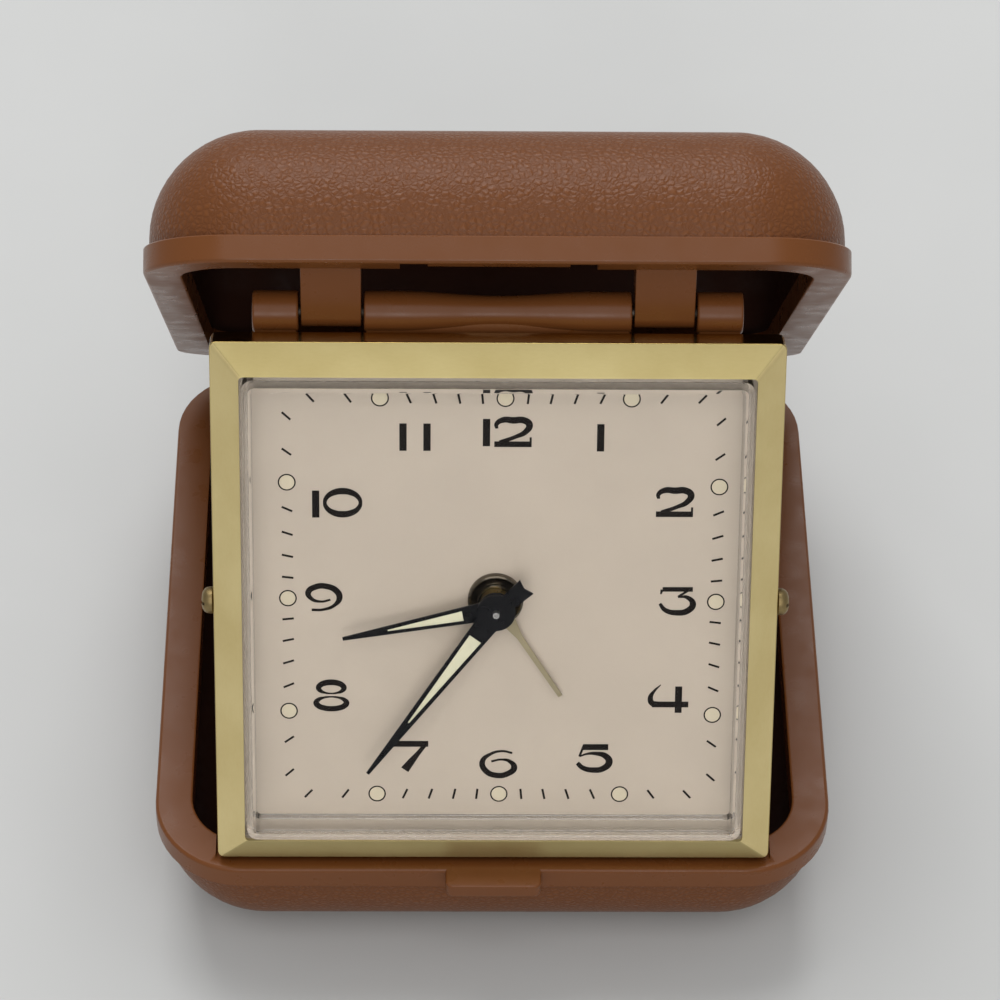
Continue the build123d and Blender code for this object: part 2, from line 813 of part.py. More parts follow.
with BuildPart() as minute_hand:
    add(hand_blade(minute_level, minute_hand_angle, minute_length, minute_window))
    with BuildSketch(hand_plane(minute_level, minute_hand_angle)):
        with BuildLine():
            Polyline(
                (0, fishtail_root),
                (-fishtail_reach, fishtail_half),
                (fishtail_notch - fishtail_reach, 0),
                (-fishtail_reach, -fishtail_half),
                (0, -fishtail_root),
                close=True,
            )
        make_face()
    extrude(amount=hand_sheet)
    add(through(centre_place, hand_pin + running_fit), mode=Mode.SUBTRACT)
finish(minute_hand, "minute_hand")
finish(lume_strip(minute_level, minute_hand_angle, minute_length, minute_window), "minute_hand_lume")

# Hour hand, and the hour wheel with the pipe that carries it
with BuildPart() as hour_hand:
    add(hand_blade(hour_level, hour_angle, hour_length, hour_window))
    add(through(centre_place, cannon_pipe + running_fit), mode=Mode.SUBTRACT)
finish(hour_hand, "hour_hand")
finish(lume_strip(hour_level, hour_angle, hour_length, hour_window), "hour_hand_lume")

with BuildPart() as hour_wheel:
    add(disc(hour_depth, centre_place, hour_pipe, hour_wheel_level - hour_depth))
    hour_turn = minute_angle + half_turn / hour_teeth
    add(toothed(hour_wheel_level, centre_place, hour_teeth, hour_module, motion_sheet, hour_turn))
    add(through(centre_place, cannon_pipe + running_fit), mode=Mode.SUBTRACT)
finish(hour_wheel, "hour_wheel")

# Alarm hand: a polished boss round the hour pipe, with a thin pointer
with BuildPart() as alarm_hand:
    add(disc(dial_depth - collar_height, centre_place, collar_radius, collar_height - seat_gap))
    chamfer(alarm_hand.faces().sort_by(Axis(head.origin, head.z_dir))[0].edges(), collar_height / 2)
    with BuildSketch(hand_plane(alarm_level, alarm_hand_angle)):
        with Locations((alarm_length / 2, 0)):
            Rectangle(alarm_length, 2 * alarm_hand_half)
    extrude(amount=hand_sheet)
    add(disc(dial_depth - alarm_level, centre_place, hub_radius + running_fit, alarm_level))
    add(disc(dial_depth - seat_gap, centre_place, dial_bore - running_fit, alarm_wheel_level - dial_depth))
    add(through(centre_place, hour_pipe + running_fit), mode=Mode.SUBTRACT)
finish(alarm_hand, "alarm_hand")

with BuildPart() as alarm_wheel:
    add(toothed(alarm_wheel_level, centre_place, alarm_teeth, alarm_module, motion_sheet, alarm_angle))
    add(through(centre_place, hour_pipe + running_fit), mode=Mode.SUBTRACT)
finish(alarm_wheel, "alarm_wheel")

# Minute wheel of the motion work, on a post of the front plate
with BuildPart() as minute_wheel:
    wheel_turn = gap_towards(minute_angle, minute_wheel_teeth)
    add(toothed(cannon_level, minute_place, minute_wheel_teeth, cannon_module, motion_sheet, wheel_turn))
    add(
        toothed(
            hour_wheel_level,
            minute_place,
            minute_pinion_teeth,
            hour_module,
            cannon_level - hour_wheel_level,
            minute_angle + half_turn,
        )
    )
    add(through(minute_place, arbor_radius + running_fit), mode=Mode.SUBTRACT)
finish(minute_wheel, "minute_wheel")


def train_wheel(place, wheel, pinion):
    """A wheel and its pinion on one arbor; each is given by depth, teeth, module, height and turn."""
    with BuildPart() as arbor:
        add(disc(front_plate_depth, place, train_arbor, plate_end - front_plate_depth))
        for depth, teeth, module, height, turn in (wheel, pinion):
            add(toothed(depth, place, teeth, module, height, turn))
    return arbor


def pinion_stretch(pinion_level, wheel_level):
    """The start and length of a pinion that meets one wheel and carries the next."""
    start = pinion_level - pivot_shoulder
    return start, wheel_level - start


# Going train
start, length = pinion_stretch(centre_level, third_level)
third_wheel = train_wheel(
    third_place,
    (third_level, third_teeth, third_module, wheel_sheet, fourth_angle),
    (start, third_pinion_teeth, centre_module, length, gap_towards(third_angle, third_pinion_teeth)),
)
finish(third_wheel, "third_wheel")

start, length = pinion_stretch(third_level, fourth_level)
fourth_wheel = train_wheel(
    fourth_place,
    (fourth_level, fourth_teeth, fourth_module, wheel_sheet, escape_angle),
    (start, fourth_pinion_teeth, third_module, length, gap_towards(fourth_angle, fourth_pinion_teeth)),
)
finish(fourth_wheel, "fourth_wheel")

start, length = pinion_stretch(fourth_level, escape_level)
escape_wheel = train_wheel(
    escape_place,
    (escape_level, escape_teeth, escape_module, wheel_sheet, lever_angle),
    (start, escape_pinion_teeth, fourth_module, length, gap_towards(escape_angle, escape_pinion_teeth)),
)
finish(escape_wheel, "escape_wheel")

half_lever = [(x * lever_length, y * lever_length) for x, y in lever_shares]
lever_outline = half_lever + [(x, -y) for x, y in reversed(half_lever[:-1])]
with BuildPart() as pallet_lever:
    lever_along = head.x_dir * cos(radians(lever_angle)) + head.y_dir * sin(radians(lever_angle))
    lever_origin = at_depth(escape_level).from_local_coords((*lever_place, 0))
    with BuildSketch(Plane(origin=lever_origin, x_dir=lever_along, z_dir=head.z_dir)):
        with BuildLine():
            Polyline(*lever_outline, close=True)
        make_face()
    extrude(amount=wheel_sheet)
    add(disc(front_plate_depth, lever_place, train_arbor, plate_end - front_plate_depth))
finish(pallet_lever, "pallet_lever")

with BuildPart() as balance_wheel:
    with BuildSketch(at_depth(balance_level)):
        with Locations(balance_place):
            Circle(balance_radius)
            Circle(balance_radius - balance_rim, mode=Mode.SUBTRACT)
            Rectangle(2 * balance_radius - balance_rim, balance_arm)
    extrude(amount=balance_sheet)
    add(disc(front_plate_depth, balance_place, train_arbor, plate_end - front_plate_depth))
finish(balance_wheel, "balance_wheel")

with BuildPart() as hairspring:
    add(
        spiral(
            hairspring_level,
            balance_place,
            hairspring_core,
            hairspring_radius,
            hairspring_turns,
            hairspring_strip,
            hairspring_height,
        )
    )
finish(hairspring, "hairspring")

# The two spring barrels, open as in small alarm movements
main_bore = arbor_radius + running_fit
with BuildPart() as time_main_wheel:
    main_turn = gap_towards(main_angle, main_teeth)
    add(toothed(main_level, main_place, main_teeth, main_module, wheel_sheet, main_turn))
    add(through(main_place, main_bore), mode=Mode.SUBTRACT)
finish(time_main_wheel, "time_main_wheel")

with BuildPart() as alarm_main_wheel:
    add(toothed(main_level, alarm_key_place, alarm_main_teeth, alarm_main_module, wheel_sheet, 0))
    add(through(alarm_key_place, main_bore), mode=Mode.SUBTRACT)
finish(alarm_main_wheel, "alarm_main_wheel")

for place, label in ((main_place, "time_mainspring"), (alarm_key_place, "alarm_mainspring")):
    with BuildPart() as mainspring:
        add(
            spiral(
                spring_level,
                place,
                spring_core,
                spring_radius,
                spring_turns,
                spring_strip,
                spring_height,
            )
        )
    finish(mainspring, label)

# Movement plates, with every arbor's hole
train_places = [third_place, fourth_place, escape_place, lever_place, balance_place]
arbor_places = [centre_place, main_place, alarm_key_place, alarm_set_place, hammer_place]


def movement_plate(depth):
    """One plate of the movement with the holes of all its arbors."""
    with BuildPart() as plate:
        with BuildSketch(at_depth(depth)):
            RectangleRounded(2 * plate_half_width, 2 * plate_half_height, plate_corner)
            with Locations(*train_places):
                Circle(train_arbor + running_fit, mode=Mode.SUBTRACT)
            with Locations(*arbor_places):
                Circle(arbor_radius + running_fit, mode=Mode.SUBTRACT)
        extrude(amount=plate_sheet)
    return plate.part


with BuildPart() as front_plate:
    add(movement_plate(front_plate_depth))
    add(disc(hour_wheel_level, minute_place, arbor_radius, front_plate_depth - hour_wheel_level))
finish(front_plate, "front_plate")

with BuildPart() as back_plate:
    add(movement_plate(back_plate_depth))
    add(disc(plate_end, balance_place, arbor_radius, regulator_level + regulator_sheet - plate_end))
finish(back_plate, "back_plate")

pillar_start = front_plate_depth + plate_sheet
with BuildPart() as pillars:
    with BuildSketch(at_depth(pillar_start)):
        with Locations(*pillar_places):
            RegularPolygon(pillar_radius, pillar_sides)
    extrude(amount=back_plate_depth - pillar_start)
finish(pillars, "pillars")

with BuildPart() as spacers:
    with BuildSketch(at_depth(plate_end)):
        with Locations(*pillar_places):
            RegularPolygon(spacer_radius, pillar_sides)
            Circle(spacer_bore, mode=Mode.SUBTRACT)
    extrude(amount=back_inside - plate_end)
finish(spacers, "spacers")

with BuildPart() as back_screws:
    for place in pillar_places:
        add(disc(housing_depth, place, back_screw_head, back_screw_rise))
        add(disc(housing_depth - back_screw_reach, place, back_screw_shank - running_fit, back_screw_reach))
    with BuildSketch(at_depth(housing_depth + back_screw_rise - slot_cut)):
        with Locations(*pillar_places):
            Rectangle(2 * back_screw_head + overrun, slot_cut)
    extrude(amount=slot_cut + overrun, mode=Mode.SUBTRACT)
finish(back_screws, "back_screws")

# Alarm: hammer on its arbor, and the gong on a post of the back plate
with BuildPart() as gong:
    add(disc(gong_level, gong_place, gong_radius, gong_height))
    add(disc(gong_level + gong_sheet, gong_place, gong_radius - gong_sheet, gong_height), mode=Mode.SUBTRACT)
    add(disc(plate_end, gong_place, gong_post_radius, gong_level - plate_end))
finish(gong, "gong")

with BuildPart() as hammer:
    reach_x = hammer_tip[0] - hammer_place[0]
    reach_y = hammer_tip[1] - hammer_place[1]
    hammer_along = head.x_dir * reach_x + head.y_dir * reach_y
    hammer_origin = at_depth(hammer_level).from_local_coords((*hammer_place, 0))
    with BuildSketch(Plane(origin=hammer_origin, x_dir=hammer_along, z_dir=head.z_dir)):
        with Locations((sqrt(reach_x**2 + reach_y**2) / 2, 0)):
            Rectangle(sqrt(reach_x**2 + reach_y**2), 2 * hammer_half)
    extrude(amount=hammer_half)
    add(disc(hammer_level, hammer_tip, hammer_head, hammer_head))
    add(disc(front_plate_depth, hammer_place, arbor_radius, hammer_level + hammer_half - front_plate_depth))
finish(hammer, "hammer")


# Winding keys: a round hub and a flat grip with rounded corners, on the spring's arbor
def winding_key(place, angle):
    """A winding key and the arbor it turns, with its grip at an angle."""
    grip_x = head.x_dir * cos(radians(angle)) + head.y_dir * sin(radians(angle))
    grip_y = head.z_dir.cross(grip_x)
    grip_origin = at_depth(knob_start).from_local_coords((*place, 0))
    with BuildPart() as key:
        add(disc(front_plate_depth, place, arbor_radius, knob_start - front_plate_depth))
        add(disc(knob_start, place, key_hub_radius, key_hub_height))
        with BuildSketch(Plane(origin=grip_origin, x_dir=grip_x, z_dir=-grip_y)):
            with Locations((0, (key_hub_height + key_reach) / 2)):
                RectangleRounded(2 * key_half, key_reach - key_hub_height, key_corner - key_thick / 2)
            with Locations((0, key_reach / 2)):
                Rectangle(2 * key_hole, key_reach)
        extrude(amount=key_thick / 2, both=True)
    return key


finish(winding_key(main_place, key_angle), "time_key")
finish(winding_key(alarm_key_place, key_angle), "alarm_key")


# Setting knobs
def knob(place):
    """A serrated round knob behind the back."""
    ring = []
    for ridge in range(knob_ridges):
        turned = ridge * 2 * half_turn / knob_ridges
        ring.append(at_polar(place, knob_radius, turned))
        ring.append(at_polar(place, knob_radius - ridge_depth, turned + half_turn / knob_ridges))
    with BuildPart() as grip:
        with BuildSketch(at_depth(knob_start)):
            with BuildLine():
                Polyline(*ring, close=True)
            make_face()
        extrude(amount=knob_reach)
    return grip.part


with BuildPart() as set_knob:
    add(knob(centre_place))
finish(set_knob, "time_set_knob")

with BuildPart() as alarm_knob:
    add(knob(alarm_set_place))
    add(disc(alarm_wheel_level, alarm_set_place, arbor_radius, knob_start - alarm_wheel_level))
    alarm_turn = gap_towards(alarm_angle, alarm_pinion_teeth)
    add(
        toothed(
            alarm_wheel_level,
            alarm_set_place,
            alarm_pinion_teeth,
            alarm_module,
            motion_sheet,
            alarm_turn,
        )
    )
finish(alarm_knob, "alarm_set_knob")

# Alarm stop slide and regulator, both through slots of the back
with BuildPart() as alarm_stop:
    with BuildSketch(at_depth(housing_depth + seat_gap)):
        with Locations(stop_place):
            RectangleRounded(stop_length, stop_width, key_thick / 2)
    extrude(amount=stop_height)
    stem_start = plate_end + hinge_gap
    add(disc(stem_start, stop_place, stop_stem_half, housing_depth + seat_gap - stem_start))
finish(alarm_stop, "alarm_stop")

with BuildPart() as regulator:
    regulator_tip = at_polar(balance_place, regulator_radius, regulator_angle)
    with BuildSketch(at_depth(regulator_level)):
        with Locations(balance_place):
            Circle(regulator_boss)
        with Locations((balance_place[0], balance_place[1] + regulator_radius / 2)):
            Rectangle(2 * regulator_arm_half, regulator_radius + 2 * regulator_stem)
    extrude(amount=regulator_sheet)
    add(disc(regulator_level, regulator_tip, regulator_stem, housing_depth + seat_gap - regulator_level))
    add(disc(housing_depth + seat_gap, regulator_tip, regulator_button, regulator_button_height))
    add(through(balance_place, arbor_radius + running_fit), mode=Mode.SUBTRACT)
finish(regulator, "regulator")
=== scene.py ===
"""The looks of a folding travel alarm clock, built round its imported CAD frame.

Pieces are modelled in millimetres, each in the frame of the part that carries it, and then set
in place: a shell lies rim down on its own Z 0, and the clock head faces +Z with its dial upright.
"""

import json
from math import asin, atan2, cos, hypot, pi, radians, sin

import bmesh
import bpy
from mathutils import Matrix, Vector

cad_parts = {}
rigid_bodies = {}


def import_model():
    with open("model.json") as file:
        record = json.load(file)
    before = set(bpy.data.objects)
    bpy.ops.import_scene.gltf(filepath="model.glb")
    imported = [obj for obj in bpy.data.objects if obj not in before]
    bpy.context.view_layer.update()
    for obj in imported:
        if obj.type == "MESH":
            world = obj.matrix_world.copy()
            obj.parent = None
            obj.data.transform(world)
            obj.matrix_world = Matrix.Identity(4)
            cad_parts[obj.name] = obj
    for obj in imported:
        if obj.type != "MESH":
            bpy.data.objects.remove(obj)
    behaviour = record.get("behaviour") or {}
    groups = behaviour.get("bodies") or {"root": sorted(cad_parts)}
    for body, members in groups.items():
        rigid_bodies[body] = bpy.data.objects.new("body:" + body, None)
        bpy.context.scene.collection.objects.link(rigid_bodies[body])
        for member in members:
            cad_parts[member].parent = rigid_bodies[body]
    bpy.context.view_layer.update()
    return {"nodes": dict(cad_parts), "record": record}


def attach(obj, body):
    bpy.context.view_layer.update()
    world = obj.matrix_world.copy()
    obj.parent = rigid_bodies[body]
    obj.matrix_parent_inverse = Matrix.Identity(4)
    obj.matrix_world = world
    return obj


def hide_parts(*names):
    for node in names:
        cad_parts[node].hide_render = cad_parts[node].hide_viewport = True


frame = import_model()
bpy.ops.object.select_all(action="DESELECT")
nodes = frame["nodes"]

# Sizes in millimetres, as in the part's source. The case: half width, half length and depth of a
# shell, its rim band, the dome's step and rounding, the wall, and the lip round the mouth
CASE_X, CASE_Y, SHELL = 42.5, 43.125, 18.2
BAND, STEP, DOME, WALL = 3.3, 0.5, 13.3, 1.7
RIM_R, LIP, LIP_R = 11.2, 4.7, 7.0
FRONT = -CASE_Y
SIDE_X, SIDE_Y = CASE_X - STEP, CASE_Y - STEP
INNER_X, INNER_Y = SIDE_X - WALL, SIDE_Y - WALL
MARGIN = 0.05

# The two hinges, their barrels and pins; a span is from and to, on each side of the middle
HINGE_OUT, OPEN = 1.1, radians(53.9)
HINGE_Y = CASE_Y + HINGE_OUT
STRAPS, KNUCKLES, MIDDLE = (16.3, 23.5), (23.8, 29.3), (0.0, 16.0)
HINGE_BARREL, HINGE_ROOM, HINGE_WEB, SIDE_GAP = 2.4, 2.7, 2.8, 0.3
PIVOT_IN, PIVOT_OUT, BARREL, STRAP_BARREL = 10.05, 4.25, 2.5, 1.8
PIN_HOLE, PIN_RUN, PIN_SIDES = 0.84, 90, 24
WAIST, WAIST_HALF = 0.55, 12

# The clock head, measured from the middle of its bezel and from the bezel's outer rim plane
HEAD_X, HEAD_Y = 34.25, 33.85
PIVOT_UP, PIVOT_DEPTH = HEAD_Y + 1.7, 6.4
BODY_X, BODY_Y = HEAD_X - 3.3, HEAD_Y - 3.3
BODY_BACK, BODY_FRONT, TRAY_EDGE, TRAY_FLOOR = -17.6, -4.2, -1.0, -3.35
TRAY_X, TRAY_Y, SEAT_X, SEAT_Y = 33.7, 33.3, 32.2, 31.8
SCREW_Z, SCREW_R, SCREW_HOLE, DIAL_DEPTH = -1.9, 1.65, 0.74, 2.9
# How high its lower edge stands over the lower shell's rim plane
EDGE_OVER_RIM = 0.893

# Places on the clock's back, seen from behind, and how its holes are cut
MAIN, ALARM_SET = (11.584, -9.050), (-11.700, 2.063)
ALARM_KEY, BALANCE = (-12.5, -10.5), (21.725, 3.678)
BACK_Z, BACK_CUT, ARBOR_HOLE = -18.5, 6, 1.2
STOP_RUN, STOP_HALF, STOP_Y = 2.4, 0.85, 22
RATE_REACH, RATE_HALF, RATE_FROM, RATE_TO, RATE_STEP = 7.5, 0.58, 72, 108, 2

fold_y, fold_z = cos(OPEN), sin(OPEN)
pivot_run = 2 * CASE_Y + HINGE_OUT - PIVOT_IN
pivot_y = HINGE_Y - pivot_run * fold_y - PIVOT_OUT * fold_z
pivot_z = SHELL + pivot_run * fold_z - PIVOT_OUT * fold_y
edge_run = HEAD_Y + PIVOT_UP
edge_drop = pivot_z - SHELL - EDGE_OVER_RIM
lean = atan2(PIVOT_DEPTH, edge_run) + asin(edge_drop / hypot(edge_run, PIVOT_DEPTH))
rise_y, rise_z = cos(lean), sin(lean)

# How far apart rings stand while a piece is lofted, and what counts as the same place
STACK, APART, TOUCH = 500, 10, 1e-3


def in_place(x_axis, y_axis, z_axis, origin):
    """The matrix from a part's own millimetres to the row frame's metres."""
    axes = Matrix((x_axis, y_axis, z_axis)).transposed().to_4x4()
    return Matrix.Scale(0.001, 4) @ Matrix.Translation(origin) @ axes


LOWER = in_place((-1, 0, 0), (0, 1, 0), (0, 0, -1), (0, 0, SHELL))
lid_origin = (0, HINGE_Y - HINGE_Y * fold_y, SHELL + HINGE_Y * fold_z)
UPPER = in_place((1, 0, 0), (0, fold_y, -fold_z), (0, fold_z, fold_y), lid_origin)
head_origin = (
    0,
    pivot_y - PIVOT_UP * rise_y - PIVOT_DEPTH * rise_z,
    pivot_z - PIVOT_UP * rise_z + PIVOT_DEPTH * rise_y,
)
HEAD = in_place((1, 0, 0), (0, rise_y, rise_z), (0, -rise_z, rise_y), head_origin)


# Modelling helpers: each works on the active object, as by hand
def edit(done=False):
    bpy.ops.object.mode_set(mode="OBJECT" if done else "EDIT")


def pick(test, kind="VERT"):
    """Selects what passes a test of its place, in the mesh being edited."""
    bpy.ops.mesh.select_mode(type=kind)
    bpy.ops.mesh.select_all(action="DESELECT")
    mesh = bmesh.from_edit_mesh(bpy.context.object.data)
    for part in {"VERT": mesh.verts, "EDGE": mesh.edges, "FACE": mesh.faces}[kind]:
        if kind == "VERT":
            part.select_set(test(part.co))
        elif kind == "EDGE":
            part.select_set(test((part.verts[0].co + part.verts[1].co) / 2, part))
        else:
            part.select_set(test(part.calc_center_median(), part.normal))
    mesh.select_flush_mode()
    bmesh.update_edit_mesh(bpy.context.object.data)


def loop(half_x, half_y, radius, z, steps):
    """One rounded rectangle of edges at a height."""
    if radius >= half_x:
        bpy.ops.mesh.primitive_circle_add(vertices=4 * steps, radius=radius, location=(0, 0, z))
        return
    bpy.ops.mesh.primitive_plane_add(size=2, location=(0, 0, z))
    bpy.ops.transform.resize(value=(half_x, half_y, 1), center_override=(0, 0, z))
    bpy.ops.mesh.bevel(offset=radius, segments=steps, affect="VERTICES")
    bpy.ops.mesh.select_linked()
    bpy.ops.mesh.delete(type="ONLY_FACE")


def skin(name, rings, steps=12, closed=False):
    """A piece lofted through rounded rectangles: half width, half height, radius and height.

    The rings are bridged while they stand in a tall stack, and then each moves to its own height.
    """
    bpy.ops.object.select_all(action="DESELECT")
    bpy.ops.mesh.primitive_plane_add(size=1)
    edit()
    bpy.ops.mesh.delete(type="VERT")
    bpy.ops.mesh.select_mode(type="VERT")
    levels = [STACK + APART * number for number in range(len(rings))]
    for (half_x, half_y, radius, _), level in zip(rings, levels):
        loop(half_x, half_y, radius, level, steps)
    pairs = list(zip(levels, levels[1:])) + ([(levels[-1], levels[0])] if closed else [])
    for pair in pairs:
        pick(lambda place: min(abs(place.z - level) for level in pair) < APART / 10)
        bpy.ops.mesh.bridge_edge_loops()
    if not closed:
        for end in (levels[0], levels[-1]):
            pick(lambda place: abs(place.z - end) < APART / 10)
            bpy.ops.mesh.edge_face_add()
    for ring, level in zip(rings, levels):
        pick(lambda place: abs(place.z - level) < APART / 10)
        bpy.ops.transform.translate(value=(0, 0, ring[3] - level))
    bpy.ops.mesh.select_all(action="SELECT")
    bpy.ops.mesh.normals_make_consistent(inside=False)
    edit(done=True)
    bpy.context.object.name = name
    return bpy.context.object


def turned(name, profile, steps, closed=False):
    """A round piece, given as radius and height from its foot up."""
    return skin(name, [(radius, radius, radius, z) for radius, z in profile], steps, closed)


def roll(half_x, half_y, radius, z, size, steps, end=90.0, up=1):
    """The rings of a rounded edge: it starts upright on a wall and rolls inwards, up or down."""
    rings = []
    for step in range(steps + 1):
        turn = radians(end * step / steps)
        inset = size * (1 - cos(turn))
        rings.append((half_x - inset, half_y - inset, radius - inset, z + up * size * sin(turn)))
    return rings


def active(piece):
    bpy.ops.object.select_all(action="DESELECT")
    bpy.context.view_layer.objects.active = piece
    piece.select_set(True)
    return piece


def block(size, centre, bevel=0.0, steps=2, turn=(0, 0, 0)):
    """A block, its edges rounded where a bevel is given."""
    bpy.ops.mesh.primitive_cube_add(size=1, location=centre, scale=size, rotation=turn)
    if bevel:
        edit()
        bpy.ops.mesh.bevel(offset=bevel, segments=steps, affect="EDGES")
        edit(done=True)
    return bpy.context.object


def rod(radius, length, centre, axis="Z", sides=48, bevel=0.0, steps=2):
    """A round bar along X or Z, its end edges rounded where a bevel is given."""
    turn = {"X": (0, pi / 2, 0), "Z": (0, 0, 0)}[axis]
    bpy.ops.mesh.primitive_cylinder_add(
        vertices=sides, radius=radius, depth=length, location=centre, rotation=turn
    )
    if bevel:
        edit()
        pick(lambda mid, edge: abs(abs(mid.z) - length / 2) < TOUCH, "EDGE")
        bpy.ops.mesh.bevel(offset=bevel, segments=steps, affect="EDGES")
        edit(done=True)
    return bpy.context.object


def copy_of(piece):
    """A copy with a mesh of its own."""
    active(piece)
    bpy.ops.object.duplicate(linked=False)
    bpy.context.view_layer.update()
    return bpy.context.object


def discard(pieces):
    for piece in pieces:
        active(piece)
        bpy.ops.object.delete()


def both_sides(span, make):
    """A piece over a span on each side of the middle, modelled once, or one over a middle span."""
    if span[0] == 0:
        return [make(0, 2 * span[1])]
    middle = (span[0] + span[1]) / 2
    piece = make(middle, span[1] - span[0])
    twin = copy_of(piece)
    twin.location.x -= 2 * middle
    return [piece, twin]


def carve(piece, cutters, operation="DIFFERENCE"):
    """Cuts pieces out of one, or joins them to it."""
    for cutter in cutters:
        active(piece)
        bpy.ops.object.modifier_add(type="BOOLEAN")
        cut = piece.modifiers[-1]
        cut.operation, cut.object, cut.solver = operation, cutter, "EXACT"
        bpy.ops.object.modifier_apply(modifier=cut.name)
        discard([cutter])
    return active(piece)


def together(name, pieces):
    """One object from several."""
    active(pieces[0])
    for piece in pieces:
        piece.select_set(True)
    if len(pieces) > 1:
        bpy.ops.object.join()
    bpy.context.object.name = name
    return bpy.context.object


def settle(piece, matrix, body, replaced=(), angle=32.0, round_off=0.0):
    """Shades a piece, sets it in its place in the row frame, and hands it to its body."""
    active(piece)
    if round_off:
        bpy.ops.object.modifier_add(type="BEVEL")
        edge = piece.modifiers[-1]
        edge.width, edge.segments = round_off, 2
        edge.limit_method, edge.angle_limit = "ANGLE", radians(40)
        edge.use_clamp_overlap = True
        bpy.ops.object.modifier_apply(modifier=edge.name)
    bpy.ops.object.shade_smooth_by_angle(angle=radians(angle))
    bpy.ops.object.modifier_add(type="WEIGHTED_NORMAL")
    piece.modifiers[-1].keep_sharp = True
    bpy.ops.object.modifier_apply(modifier=piece.modifiers[-1].name)
    piece.matrix_world = matrix @ piece.matrix_world
    bpy.ops.object.transform_apply(location=True, rotation=True, scale=True)
    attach(piece, body)
    if replaced:
        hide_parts(*replaced)
    return piece


def paint(piece, *finishes):
    """Gives a piece its materials; the first covers it all."""
    piece.data.materials.clear()
    for finish in finishes:
        piece.data.materials.append(finish)
    return piece


def repaint(piece, index, test):
    """Gives the faces that pass a test of place and normal another of the piece's materials."""
    active(piece)
    edit()
    pick(test, "FACE")
    piece.active_material_index = index
    bpy.ops.object.material_slot_assign()
    edit(done=True)


# Finishes
def seen(red, green, blue):
    """A colour given as 0 to 255 display values, in the linear values that shaders take."""
    values = (red, green, blue)
    linear = [((c / 255 + 0.055) / 1.055) ** 2.4 if c > 10 else c / 255 / 12.92 for c in values]
    return (*linear, 1.0)


# The middle of a noise's range, where most of its values lie, for a gloss and for broad patches
GLOSS_RANGE, PATCH_RANGE = (0.3, 0.7), (0.35, 0.65)


class Finish:
    """A node material, with short ways to add the nodes that finishes share."""

    def __init__(self, name, colour, roughness, metallic=0.0, **sockets):
        self.material = bpy.data.materials.new(name)
        self.material.use_nodes = True
        self.tree = self.material.node_tree
        self.shader = self.tree.nodes["Principled BSDF"]
        self.set(base_color=colour, roughness=roughness, metallic=metallic, **sockets)
        self.place = self.node("TexCoord").outputs["Object"]
        self.bumps = None

    def set(self, **sockets):
        for name, value in sockets.items():
            label = name.replace("_", " ").title().replace("Ior", "IOR")
            self.shader.inputs[label].default_value = value

    def node(self, kind, **settings):
        made = self.tree.nodes.new("ShaderNode" + kind)
        for name, value in settings.items():
            setattr(made, name, value)
        return made

    def link(self, source, target):
        self.tree.links.new(source, target)

    def mapped(self, stretch):
        mapping = self.node("Mapping")
        mapping.inputs["Scale"].default_value = stretch
        self.link(self.place, mapping.inputs["Vector"])
        return mapping.outputs["Vector"]

    def noise(self, scale, detail=2.0, stretch=(1, 1, 1)):
        """Noise over the object, in cells per metre, stretched along the axes."""
        made = self.node("TexNoise")
        made.inputs["Scale"].default_value = scale
        made.inputs["Detail"].default_value = detail
        self.link(self.mapped(stretch), made.inputs["Vector"])
        return made.outputs["Fac"]

    def cells(self, scale, wander, drift=0.9):
        """Distance to the edge of pebbly cells, whose walls wander by a noise a little larger."""
        shift = self.node("TexNoise")
        shift.inputs["Scale"].default_value = scale * drift
        self.link(self.place, shift.inputs["Vector"])
        moved = self.node("MixRGB", blend_type="LINEAR_LIGHT")
        moved.inputs[0].default_value = wander / scale
        self.link(self.place, moved.inputs[1])
        self.link(shift.outputs["Color"], moved.inputs[2])
        made = self.node("TexVoronoi", feature="DISTANCE_TO_EDGE")
        made.inputs["Scale"].default_value = scale
        self.link(moved.outputs[0], made.inputs["Vector"])
        return made.outputs["Distance"]

    def ramp(self, source, low, high, low_value=0.0, high_value=1.0):
        """A number taken from one range to another."""
        made = self.node("MapRange")
        made.inputs["From Min"].default_value = low
        made.inputs["From Max"].default_value = high
        made.inputs["To Min"].default_value = low_value
        made.inputs["To Max"].default_value = high_value
        self.link(source, made.inputs["Value"])
        return made.outputs["Result"]

    def tint(self, factor, colour_a, colour_b):
        """Two colours mixed by a number, as the base colour."""
        made = self.node("Mix", data_type="RGBA")
        made.inputs[6].default_value = colour_a
        made.inputs[7].default_value = colour_b
        self.link(factor, made.inputs[0])
        self.link(made.outputs[2], self.shader.inputs["Base Color"])

    def gloss(self, factor, smooth, rough):
        """Roughness that varies between two values."""
        self.link(self.ramp(factor, *GLOSS_RANGE, smooth, rough), self.shader.inputs["Roughness"])

    def bump(self, height, distance, strength=1.0):
        """A bump added over those already there."""
        made = self.node("Bump")
        made.inputs["Distance"].default_value = distance
        made.inputs["Strength"].default_value = strength
        self.link(height, made.inputs["Height"])
        if self.bumps is not None:
            self.link(self.bumps, made.inputs["Normal"])
        self.bumps = made.outputs["Normal"]
        self.link(self.bumps, self.shader.inputs["Normal"])


def plain(name, colour, roughness, metallic=0.0, speck=900.0, depth=2e-6, shade=0.85, **sockets):
    """A moulded or machined finish with faint unevenness in its gloss, surface and colour."""
    made = Finish(name, colour, roughness, metallic, **sockets)
    uneven = made.noise(speck, 3.0)
    made.gloss(uneven, roughness * 0.8, min(1.0, roughness * 1.25))
    made.bump(uneven, depth)
    darker = (colour[0] * shade, colour[1] * shade, colour[2] * shade, 1.0)
    made.tint(made.ramp(made.noise(speck / 8), *PATCH_RANGE), darker, colour)
    return made.material


